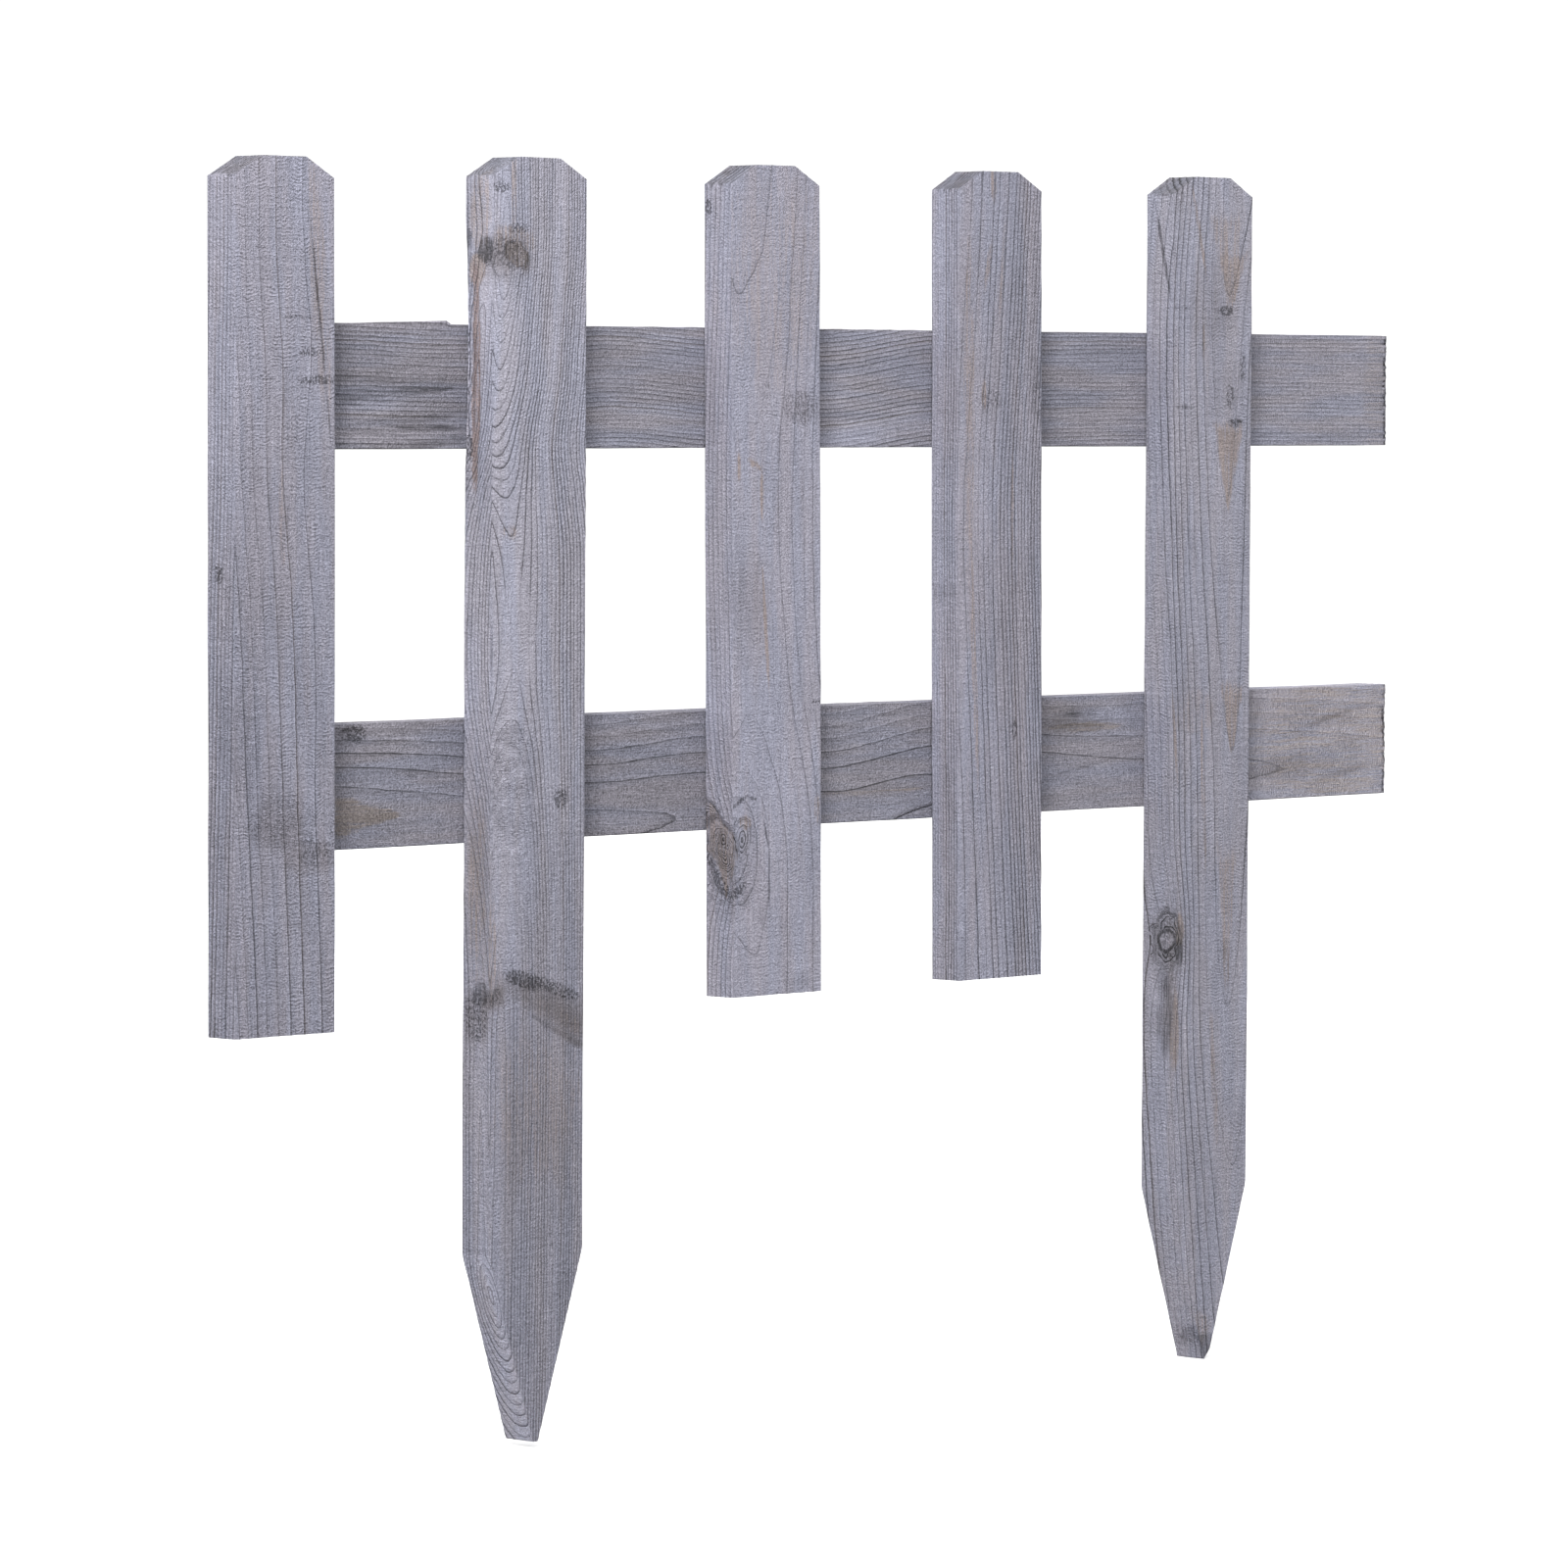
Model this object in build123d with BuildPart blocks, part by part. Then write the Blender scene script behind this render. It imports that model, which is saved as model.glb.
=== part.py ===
from build123d import *
from dataclasses import dataclass
import math
import os

os.makedirs("parts", exist_ok=True)

# A bed border fence panel of rough-sawn boards: three short pickets and two pointed stakes,
# fixed in front of two rails. Millimetres, +Z up, pickets facing -Y, the row along +X.
# The origin lies on the front face of the left stake, on its centre line, at the ground line.

# Boards
picket_width = 62.0
picket_thickness = 19.0
rail_width = 58.5
rail_thickness = 19.0
arris_radius = 0.8

# Row of pickets
pickets_in_panel = 5
picket_pitch = 160.0
picket_height = 400.0
lean_pivot_height = 202.0

# Dog-eared tops
ear_width = 17.5
ear_drop = 9.5

# Stakes
stake_depth = 200.0
point_length = 89.0
tip_width = 4.0
chip_height = 5.0
chip_width = 3.4

# Rails
upper_rail_height = 264.5
lower_rail_height = 80.5
rail_start = 3.4

# Wane: the strip along the left stake's rear left arris where the bark was
wane_height = 313.0
wane_length = 120.0
wane_width = 9.0
wane_depth = 1.8

# Worked out from the sizes above
rail_length = pickets_in_panel * picket_pitch
ground_height = 0.0


@dataclass
class Board:
    """One picket or stake: its place in the row, its lean in degrees with the top to the
    right, and how far its two ends lie above their nominal heights."""

    place: int
    lean: float
    top_rise: float
    foot_rise: float


short_pickets = {
    "left_picket": Board(place=-1, lean=0.2, top_rise=-2.4, foot_rise=-1.1),
    "middle_picket": Board(place=1, lean=-0.15, top_rise=0.8, foot_rise=0.6),
    "right_picket": Board(place=2, lean=-0.1, top_rise=1.5, foot_rise=0.4),
}
left_stake_board = Board(place=0, lean=0.45, top_rise=0.7, foot_rise=-0.9)
right_stake_board = Board(place=3, lean=0.35, top_rise=2.2, foot_rise=-4.0)


def front_plane(board):
    """The board's front face: local X to the right, local Y up along the leaning board."""
    lean = math.radians(board.lean)
    return Plane(
        origin=(board.place * picket_pitch, 0, lean_pivot_height),
        x_dir=(math.cos(lean), 0, -math.sin(lean)),
        z_dir=(0, -1, 0),
    )


def dog_ear_points(board):
    """The top end from right to left, with both corners sawn off."""
    half = picket_width / 2
    top = picket_height + board.top_rise - lean_pivot_height
    return [
        (half, top - ear_drop),
        (half - ear_width, top),
        (-half + ear_width, top),
        (-half, top - ear_drop),
    ]


def foot_level(board, nominal):
    """The local height of the board's lower end."""
    return nominal + board.foot_rise - lean_pivot_height


def ease_long_edges(part, plane):
    """Rounds the arrises that run along the board."""
    fillet(part.edges().filter_by(Axis((0, 0, 0), plane.y_dir)), radius=arris_radius)


def short_picket(board):
    """A square-footed picket that ends at the ground line."""
    plane = front_plane(board)
    half = picket_width / 2
    foot = foot_level(board, ground_height)
    with BuildPart() as picket:
        with BuildSketch(plane):
            with BuildLine():
                Polyline((-half, foot), (half, foot), *dog_ear_points(board), close=True)
            make_face()
        extrude(amount=-picket_thickness)
        ease_long_edges(picket, plane)
    return picket


def stake(board, tip_points):
    """A long picket with its foot sawn to a point for driving into the soil."""
    plane = front_plane(board)
    half = picket_width / 2
    shoulder = foot_level(board, -stake_depth) + point_length
    with BuildPart() as pointed:
        with BuildSketch(plane):
            with BuildLine():
                Polyline(
                    (-half, shoulder),
                    *tip_points,
                    (half, shoulder),
                    *dog_ear_points(board),
                    close=True,
                )
            make_face()
        extrude(amount=-picket_thickness)
        ease_long_edges(pointed, plane)
    return pointed


def sharp_tip(board):
    """The narrow sawn end of an undamaged point."""
    tip = foot_level(board, -stake_depth)
    return [(-tip_width / 2, tip), (tip_width / 2, tip)]


def chipped_tip(board):
    """A point whose right corner has split off."""
    tip = foot_level(board, -stake_depth)
    taper = (picket_width - tip_width) / 2 / point_length
    return [
        (-tip_width / 2, tip),
        (tip_width / 2 - chip_width, tip),
        (tip_width / 2 + taper * chip_height, tip + chip_height),
    ]


def write(piece, name):
    """Labels a finished piece and writes its file."""
    piece.part.label = name
    export_step(piece.part, f"parts/{name}.step")


# Short pickets
for name, board in short_pickets.items():
    write(short_picket(board), name)

# Left stake, with the wane scooped out of its rear left arris
left_stake_blank = stake(left_stake_board, sharp_tip(left_stake_board))
wane_angle = math.atan2(wane_depth, wane_width)
wane_bite = wane_width * math.sin(wane_angle)
scoop_radius = (wane_length**2 / 4 + wane_bite**2) / (2 * wane_bite)
left_front = front_plane(left_stake_board)
rear_left_arris = (-picket_width / 2, wane_height - lean_pivot_height, -picket_thickness)
outward = left_front.x_dir * -math.cos(wane_angle) - left_front.z_dir * math.sin(wane_angle)
across = left_front.x_dir * math.sin(wane_angle) - left_front.z_dir * math.cos(wane_angle)
wane_plane = Plane(
    origin=left_front.from_local_coords(rear_left_arris), x_dir=outward, z_dir=across
)
with BuildPart() as left_stake:
    add(left_stake_blank.part)
    with BuildSketch(wane_plane):
        with Locations((scoop_radius - wane_bite, 0)):
            Circle(scoop_radius)
    extrude(amount=picket_thickness, both=True, mode=Mode.SUBTRACT)
write(left_stake, "left_stake")

# Right stake, with the chipped point
write(stake(right_stake_board, chipped_tip(right_stake_board)), "right_stake")

# Rails, lying behind the pickets from the first picket's centre line to the next panel's
rail_heights = {"upper_rail": upper_rail_height, "lower_rail": lower_rail_height}
for name, height in rail_heights.items():
    with BuildPart() as rail:
        with BuildSketch(Plane.YZ.offset(rail_start - picket_pitch)):
            with Locations((picket_thickness, height)):
                Rectangle(rail_thickness, rail_width, align=(Align.MIN, Align.MIN))
        extrude(amount=rail_length)
        fillet(rail.edges().filter_by(Axis.X), radius=arris_radius)
    write(rail, name)
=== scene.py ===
import math
from dataclasses import dataclass

import bpy
import numpy as np
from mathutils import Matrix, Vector


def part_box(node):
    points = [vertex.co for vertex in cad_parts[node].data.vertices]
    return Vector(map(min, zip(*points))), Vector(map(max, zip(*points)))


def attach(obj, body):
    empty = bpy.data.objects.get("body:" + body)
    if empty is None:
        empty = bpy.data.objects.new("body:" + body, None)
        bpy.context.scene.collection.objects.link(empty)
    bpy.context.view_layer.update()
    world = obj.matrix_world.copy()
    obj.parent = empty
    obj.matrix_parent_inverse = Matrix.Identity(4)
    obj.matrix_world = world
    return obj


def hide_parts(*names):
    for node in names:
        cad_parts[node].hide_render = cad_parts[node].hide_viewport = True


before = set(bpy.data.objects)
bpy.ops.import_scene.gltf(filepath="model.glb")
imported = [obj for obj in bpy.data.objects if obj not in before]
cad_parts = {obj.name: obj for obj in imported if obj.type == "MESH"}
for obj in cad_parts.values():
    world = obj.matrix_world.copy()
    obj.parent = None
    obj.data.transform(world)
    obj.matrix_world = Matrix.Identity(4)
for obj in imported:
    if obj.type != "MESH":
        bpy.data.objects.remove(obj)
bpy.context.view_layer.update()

# The looks of a bed border fence panel: weathered, rough-sawn softwood boards.
#
# Every board has its own coordinates in millimetres: across its width from its centre line,
# along its length, and depth from its front face to its back. Grain, knots and stains are
# placed with a fourth one, around: the way along the surface from the front's centre line,
# which goes on over the arris and down the side. On the front, around is the same as across.

MM = 0.001

# Sizes that the CAD part shares
picket_width = 62.0
picket_pitch = 160.0
lean_pivot_height = 202.0
ear_width = 17.5
ear_drop = 9.5
point_length = 89.0
tip_width = 4.0
chip_height = 5.0
chip_width = 3.4
arris_radius = 0.8
wane_height = 313.0
wane_length = 120.0
wane_width = 9.0
wane_depth = 1.8

# Sizes read from the frame
upper_low, upper_high = (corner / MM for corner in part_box("upper_rail"))
board_thickness = upper_high.y - upper_low.y
rail_back = upper_high.y
rail_start = upper_low.x
rail_end = upper_high.x

# The splinter along the upper rail's top front arris
splinter_start = -100.0
splinter_end = -39.0
splinter_height = 1.7
splinter_width = 2.0
splinter_depth = 2.6

# Nail heads in the rails' backs, two at every crossing
nail_radius = 3.2
nail_dome = 0.25
nail_edge_drop = 0.6
nail_clearance = 0.04
nail_rings = 7
nail_segments = 24
nail_side_share = 0.22
nail_up_step = 13.0
nail_stray_across = 2.0
nail_stray_up = 3.0
hammer_mark_height = 0.03
hammer_marks = 6

# Mesh density: cells round a board, and the length of a row of cells
cells_across = 88
cells_deep = 26
picket_row = 2.1
stake_row = 2.3
rail_row = 2.9
fine_row = 1.1
fine_row_fade = 8.0
end_row = 0.3
ear_rows = 24
tip_rows = 8

# How far a rounded arris has turned at each point between its four cells
arris_turns = np.radians([22.5, 45.0, 67.5])

# How deep the rough surface lies below the sawn one
surface_allowance = 0.03
groove_depth = 0.14
broad_depth = 0.18
lump_depth = 0.05
bark_depth = 0.8
bark_lump_depth = 0.5
fuzz_depth = 0.25
torn_depth = 1.7
cut_depth = 0.4
end_share = 0.5

# Unevenness by kind: the size of a lump across, along and in depth, what is added to the
# board's seed, and the number of layers
unevenness = {
    "wander": ((30, 110, 30), 0, 2),
    "quiver": ((9, 45, 9), 5, 2),
    "knots": ((4, 4, 1), 9, 2),
    "stains": ((6, 6, 1), 31, 3),
    "broad": ((25, 60, 25), 3, 3),
    "lumps": ((3, 5, 3), 4, 2),
    "splinters": ((2, 2.5, 6), 6, 3),
    "cuts": ((4, 1, 1.5), 7, 2),
}
quiver_share = 0.35
knot_noise_start = 7.3
stain_noise_step = 3.7

# The noise round the knots is turned, so that its cells don't line up with the board
turn_cosine = 0.82
turn_sine = 0.57

# A knot's core fades out between two shares of its size, and its rim lies between them
core_start = 0.85
core_end = 1.15
rim_place = 0.97
rim_thickness = 1.1
thinnest_rim = 0.08
thickest_rim = 0.2
rim_darkness = 0.8
rim_unevenness = 0.6
middle_ring_share = 0.4

# Stains, as shares of their half sizes: where they end, how far their outlines stray,
# and how wide a tapered one starts
stain_end = 1.25
stain_raggedness = 0.45
taper_start_width = 1.02

# How strong the growth lines are in calm patches, in knots and on faces cut across
calm_weakening = 0.85
knot_lines = 1.7
cut_lines = 1.3

# Rings crossed by a millimetre of surface, at least and at most
least_pace = 0.02
most_pace = 1.0

# Faces cut across the fibres: how rough the end faces count, and their uneven boundaries
end_face_cut = 0.6
cut_edge_stray = 1.4
ear_edge_half = 0.4
slope_edge_above = 0.5
slope_edge_below = 1.5

mark_kinds = (
    "dark", "brown", "pale", "fuzz", "ripple", "bark", "specks", "torn", "calm", "shade",
)

# Fields of the mesh that the wood material reads
painted_fields = (
    "ring", "pace", "lines", "even", "tone", "dark", "brown", "pale", "shade", "specks",
    "fuzz", "ripple", "bark", "knot", "cut", "edge",
)

# The material's noises: bumps per millimetre across, along and in depth, layers of detail,
# how rough the layers are, and how much they swirl
wood_noises = {
    "quiver": ((0.5, 0.07, 0.5), 3.0, 0.5, 0.0),
    "breaks": ((0.35, 0.04, 0.35), 4.0, 0.7, 0.0),
    "drift": ((0.12, 0.05, 0.12), 2.0, 0.5, 0.0),
    "patches": ((0.12, 0.05, 0.12), 3.0, 0.5, 0.0),
    "scrape": ((0.2, 0.2, 0.9), 3.0, 0.7, 0.0),
    "streak": ((0.6, 0.012, 0.6), 3.0, 0.6, 0.0),
    "fibre": ((1.3, 0.05, 1.3), 3.0, 0.7, 0.0),
    "grit": ((1.0, 0.8, 1.0), 3.0, 0.85, 0.0),
    "dash": ((0.42, 1.15, 0.42), 2.0, 0.6, 0.3),
    "curls": ((0.33, 0.8, 0.33), 2.0, 0.5, 2.5),
    "cloud": ((0.05, 0.02, 0.05), 3.0, 0.5, 0.0),
    "tint": ((0.10, 0.012, 0.10), 3.0, 0.5, 0.0),
    "dots": ((0.95, 0.6, 0.95), 1.5, 0.6, 0.4),
}
grain_scales = (1.15, 0.85, 1.15)

# Growth lines, in millimetres and shares
ring_quiver = 1.3
thin_line_width = 1.2
thin_line_reach = 0.5
thin_line_share = 0.95
broad_line_width = 3.5
broad_line_share = 0.16
ridge_width = 1.3
even_strength = 0.62

# One random number a ring is drawn from each of these starts
hue_draw = 7.77
strength_draw = 0.31
row_draw = 3.3

# Saw marks: bowed rows between the rings and long strokes across the board
saw_pitch = 1.75
saw_stroke = 4.5
stroke_quiver = 1.5
bow_rows = 2.4
drift_rows = 5.0

# How much each part of the material lightens the wood, darkens it and stands out
lightening = {
    "fibre": 0.8, "streak": 0.38, "grit": 1.8, "cloud": 0.35, "dash": 0.9, "curls": 1.8,
    # ridge lightens the raised edge beyond each ring's line: partly painted highlight, partly the
    # wood's own paleness
    "row": 0.16, "stroke": 0.035, "scrape": 2.6, "ridge": 0.16, "pale": 0.30, "edge": 0.06,
    "grains": 0.50,
}
darkening = {"line": 0.62, "cut": 0.48, "dark": 0.72, "dots": 0.62, "shade": 0.40}
standing_out = {
    "line": -0.7, "fibre": 1.2, "grit": 1.8, "dash": 2.0, "curls": 3.0, "row": 0.35,
    "stroke": 0.12, "scrape": 1.5, "ridge": 0.3, "grains": 0.5, "dots": -1.0,
}
bump_height = 0.0006

# How much the fibres break up the edges of stains
tearing = {"fibre": 2.2, "streak": 1.6, "grit": 1.4}
brown_share = 0.85
shade_brown_share = 0.45

# Each wood's cool, warm and brown colour
wood_colours = {
    "picket_wood": (
        (0.266, 0.268, 0.334, 1.0), (0.282, 0.270, 0.320, 1.0), (0.250, 0.205, 0.195, 1.0),
    ),
    "stake_wood": (
        (0.266, 0.268, 0.331, 1.0), (0.280, 0.270, 0.316, 1.0), (0.245, 0.202, 0.190, 1.0),
    ),
    # The rails' wood is a little darker than the upright boards': partly painted shade from the
    # pickets in front of the rails
    "rail_wood": (
        (0.255, 0.257, 0.318, 1.0), (0.276, 0.262, 0.300, 1.0), (0.240, 0.205, 0.190, 1.0),
    ),
}
bark_colour = (0.215, 0.170, 0.170, 1.0)
zinc_colour = (0.34, 0.35, 0.36, 1.0)
zinc_blotch_colour = (0.16, 0.12, 0.10, 1.0)
floor_colours = ((0.90, 0.90, 0.90, 1.0), (0.95, 0.95, 0.95, 1.0))

# Studio floor, in metres
floor_reach = 40.0
floor_cells = 24

# Studio light: the white room as a share of full white, and the lamps in watts and metres
room_light = 1.10
dim_below = 0.10
room_horizon = (-0.10, -0.03)
strip_watts = 14.0
strip_place = Vector((-0.55, -1.20, 1.30))
strip_length = 2.4
strip_height = 0.5
box_watts = 690.0
back_watts = 240.0
box_side = 1.5
box_distance = 8.0
lamp_target_height = 150

# The photograph's view, in metres and degrees
lens = 177.31
sensor_width = 36.0
camera_place = (-2.5180, -2.5878, 0.2782)
pitch_down = 2.698
turn_right = 46.031


# Smooth random values


def lattice_noise(points, seed):
    """Smooth noise from 0 to 1 for an array of points, a new value about every unit."""
    size = 32
    lattice = np.random.default_rng(seed).random((size, size, size))
    cell = np.floor(points).astype(int)
    part = points - cell
    part = part * part * (3 - 2 * part)
    total = np.zeros(len(points))
    for step_x in (0, 1):
        weight_x = part[:, 0] if step_x else 1 - part[:, 0]
        for step_y in (0, 1):
            weight_y = part[:, 1] if step_y else 1 - part[:, 1]
            for step_z in (0, 1):
                weight_z = part[:, 2] if step_z else 1 - part[:, 2]
                corner = (cell + (step_x, step_y, step_z)) % size
                value = lattice[corner[:, 0], corner[:, 1], corner[:, 2]]
                total += weight_x * weight_y * weight_z * value
    return total


def layered_noise(points, seed, layers):
    """Noise from -1 to 1 with finer, weaker layers on top of the coarse one."""
    total = np.zeros(len(points))
    share = 1.0
    whole = 0.0
    for layer in range(layers):
        total += share * (2 * lattice_noise(points * 2**layer, seed + layer) - 1)
        whole += share
        share /= 2
    return total / whole


def smooth_step(value, start, end):
    """0 before start, 1 after end, and an S curve between them."""
    t = np.clip((value - start) / (end - start), 0, 1)
    return t * t * (3 - 2 * t)


def smooth_path(heights, values, where):
    """A soft curve through a few (height, value) stations."""
    order = np.argsort(heights)
    stations = np.asarray(heights, float)[order]
    levels = np.asarray(values, float)[order]
    index = np.clip(np.searchsorted(stations, where) - 1, 0, len(stations) - 2)
    span = stations[index + 1] - stations[index]
    t = np.clip((where - stations[index]) / span, 0, 1)
    slopes = np.gradient(levels, stations)
    rise = levels[index + 1] - levels[index]
    start_slope = slopes[index] * span
    end_slope = slopes[index + 1] * span
    return (
        levels[index]
        + start_slope * t
        + (3 * rise - 2 * start_slope - end_slope) * t**2
        + (start_slope + end_slope - 2 * rise) * t**3
    )


# What each board looks like


@dataclass
class Knot:
    """A branch sawn through: half its width and height, how far it lifts the rings round it,
    how far that lift reaches in both directions, and how dark and brown it is. Fill darkens
    its core, rim its outline, slant shifts it to the right for each millimetre up, pointed
    narrows its lower end, ring_gap is the distance between its own rings and rough makes
    its outline uneven."""

    around: float
    along: float
    wide: float
    tall: float
    lift: float = 6.0
    reach_around: float = 14.0
    reach_along: float = 30.0
    dark: float = 0.7
    brown: float = 0.5
    slant: float = 0.0
    fill: float = 0.45
    pointed: float = 0.0
    ring_gap: float = 1.6
    rough: float = 0.12
    rim: float = 1.0


@dataclass
class Stain:
    """A patch where one property of the surface is stronger, by its middle and half sizes.
    Slant shifts the middle to the right for each millimetre up, tilt shifts it up for each
    millimetre to the right; taper narrows the patch to a point at its upper end, or at its
    lower end where it is negative; ragged makes its outline uneven; a high edge is sharp."""

    kind: str
    around: float
    along: float
    wide: float
    tall: float
    amount: float = 1.0
    slant: float = 0.0
    ragged: float = 0.5
    edge: float = 0.6
    taper: float = 0.0
    tilt: float = 0.0


@dataclass
class Wood:
    """One board's growth: the pith's path as (along, across, depth) stations, the width of
    a ring, how much the rings wander, what lies on the board, how light it is and how
    strong its lines are (both by stations along the board), how even they are among
    themselves, how much paler the freshly cut slopes of its point are, and the stretches
    that need closer mesh rows."""

    seed: int
    ring_width: float
    pith: tuple
    wander: float = 0.25
    knots: tuple = ()
    stains: tuple = ()
    ripple: float = 0.4
    # On the upright boards the tone's fall towards the foot is partly painted light falling off
    # from above; on the rails its low stretches between the pickets are partly painted shade
    tone: tuple = ((0, 1.0), (400, 1.0))
    lines: tuple = ((0, 1.0), (400, 1.0))
    even: float = 0.0
    slope_pallor: float = 0.9
    fine: tuple = ()


left_picket_wood = Wood(
    seed=11,
    ring_width=2.3,
    pith=(
        (400, 30, 190), (340, 31, 190), (300, 34, 190), (250, 39, 189), (200, 44, 189),
        (100, 52, 188), (0, 60, 187),
    ),
    ripple=0.6,
    wander=0.12,
    # Tone by height: its fall towards the foot is partly painted light falling off from the top
    # down, partly the board's own weathering
    tone=((400, 1.14), (200, 0.94), (0, 0.89)),
    lines=((400, 0.7), (200, 0.95), (0, 1.3)),
    stains=(
        Stain("ripple", -5, 330, 40, 110, 0.75),
        Stain("brown", 21, 340, 6, 70, 0.45, slant=-0.08),
        Stain("brown", -2, 235, 2, 28, 0.5, slant=-0.03),
        Stain("dark", 22, 318, 0.9, 60, 0.9, slant=-0.125),
        Stain("specks", 20, 296, 12, 2.2, 1.0, tilt=0.05),
        Stain("specks", 14, 309, 8, 1.8, 0.8),
        Stain("specks", 8, 325, 10, 1.8, 0.6),
        Stain("specks", -42, 209, 3, 5, 1.0),
        Stain("shade", 16, 79, 16, 6.5, 0.32, edge=0.9, ragged=0.2),
        Stain("shade", -4, 92, 18, 12, 0.22, edge=0.2),
        Stain("specks", 18, 82, 12, 9, 0.5),
        Stain("fuzz", -2, 96, 22, 14, 1.0),
        Stain("fuzz", -30, 150, 20, 60, 0.6),
        # Painted light: this pale stripe covers the left side face and brightens it as more light
        # on that side would
        Stain("pale", -41, 260, 13, 150, 0.3, ragged=0.2, edge=0.9),
    ),
)

left_stake_wood = Wood(
    seed=23,
    ring_width=1.8,
    wander=0.2,
    pith=(
        (402, -22, 5), (356, -22, 6), (331, -24, 8.2), (300, -26, 11), (263, -28, 19),
        (246, -23, 24.3), (224, -18, 27), (195, -16, 28.4), (150, -16, 28.2), (100, -20, 20),
        (60, -22, 13), (20, -23, 8), (-60, -24, 6), (-205, -26, 5),
    ),
    # Tone by height: its fall towards the foot is partly painted light falling off from the top
    # down, partly the board's own weathering
    tone=(
        (400, 1.40), (330, 1.44), (250, 1.30), (150, 1.18), (60, 1.13), (-40, 0.99), (-200, 1.02),
    ),
    lines=((400, 1.1), (330, 1.3), (120, 1.1), (20, 1.0), (-200, 1.2)),
    even=0.4,
    slope_pallor=1.9,
    fine=((343, 366), (-20, 24)),
    knots=(
        Knot(
            -35.5, 357, 5.4, 6.6, lift=3, dark=1.3, brown=0.0, fill=0.82, rough=0.3,
            rim=0.4, ring_gap=30,
        ),
        Knot(
            -15, 355, 7.6, 6.2, lift=3, dark=1.2, brown=0.9, slant=-0.4, fill=0.58, rough=0.2,
            rim=0.6, ring_gap=30,
        ),
        Knot(-14.5, 354.5, 3.4, 2.8, lift=0, dark=0.75, brown=0.9, slant=-0.4, ring_gap=30),
        Knot(-25.5, 350, 5.0, 5.5, lift=1, dark=0.8, brown=0.0, fill=0.3, ring_gap=30),
    ),
    stains=(
        Stain("calm", -14, 178, 11, 30, 1.0),
        Stain("calm", -18, 78, 15, 62, 0.9),
        Stain("calm", -22, 318, 9, 34, 0.35),
        Stain("brown", -12, 352, 10, 9, 0.5, edge=0.1),
        Stain("shade", -24, 354, 20, 12, 0.75, edge=0.1),
        Stain("shade", -9.5, 351, 4, 6.5, 0.8, edge=0.2),
        Stain("specks", -24, 356, 20, 9, 0.5),
        Stain("bark", -43.5, 300, 3.5, 52, 1.0, edge=0.9),
        Stain("torn", -50, 300, 5, 60, 0.7),
        Stain("brown", -42, 348, 6, 8, 1.0),
        Stain("brown", -22, 362, 9, 8, 0.6),
        Stain("dark", -24, 360, 16, 9, 0.25),
        Stain("brown", -40, 375, 8, 22, 0.5),
        Stain("brown", -13, 362, 12, 7, 0.5),
        Stain("specks", -24, 386, 6, 3, 0.8),
        Stain("specks", -14, 367, 8, 3, 0.6),
        Stain("specks", -48, 266, 3, 8, 1.0),
        Stain("dark", -48, 362, 3, 5, 0.8),
        Stain("brown", -17, 395, 2, 35, 0.5),
        Stain("brown", -19, 226, 6, 4, 0.5),
        Stain("fuzz", -16, 110, 16, 34, 1.0),
        Stain("fuzz", 0, 60, 20, 50, 0.5),
        Stain("pale", -20, 138, 8, 2.5, 0.9, tilt=0.2),
        Stain("pale", -20, 124, 9, 2.5, 0.9, tilt=-0.3),
        Stain("pale", -16, 112, 12, 2.5, 0.8, tilt=0.3),
        Stain("pale", -18, 98, 6, 8, 0.7),
        Stain("pale", -16, 78, 8, 2.5, 0.6),
        Stain("specks", 15, 101, 5, 5, 1.0),
        Stain("specks", -8, 16.5, 15, 4.2, 1.0, tilt=-0.2),
        Stain("specks", 14, 11, 15, 3.6, 0.8, tilt=-0.3),
        Stain("dark", -6, 15, 17, 4.5, 0.5, tilt=-0.2),
        Stain("dark", 12, 10, 17, 5, 0.3, tilt=-0.3),
        Stain("brown", 17, -3, 26, 9, 0.5, tilt=-0.45, edge=0.2),
        Stain("shade", 18, 0, 30, 12, 0.85, tilt=-0.40, edge=0.2),
        Stain("shade", 0, 7, 24, 9, 0.65, tilt=-0.4, edge=0.2),
        Stain("dark", 6, -5, 16, 2.0, 0.6, tilt=-0.5, edge=0.2, ragged=0.2),
        Stain("shade", 22, -12, 18, 3.6, 0.8, tilt=-0.45, edge=0.2, ragged=0.2),
        Stain("dark", 24, -14, 12, 3.0, 0.4, tilt=-0.42, edge=0.2, ragged=0.2),
        Stain("brown", 0, -45, 45, 55, 0.42, edge=0.2),
        Stain("brown", -40, 60, 9, 60, 0.6, edge=0.2),
        Stain("shade", -38, 60, 10, 55, 0.4, edge=0.2),
        Stain("shade", 10, -45, 40, 50, 0.12, edge=0.2),
        Stain("specks", -41, 0, 9, 14, 0.6),
        Stain("specks", -29, 9, 9, 4.5, 0.5, tilt=0.5),
        Stain("shade", -28, 9, 13, 8, 0.9, tilt=0.5, edge=0.2),
        Stain("dark", -37, 11, 7, 6, 0.8),
        Stain("shade", -39, 2, 12, 17, 0.5, edge=0.2),
        Stain("brown", -42, 73, 4, 10, 0.6),
        Stain("brown", -30, 30, 4, 30, 0.5),
        Stain("dark", 12, -50, 14, 14, 0.2),
    ),
)

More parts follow.
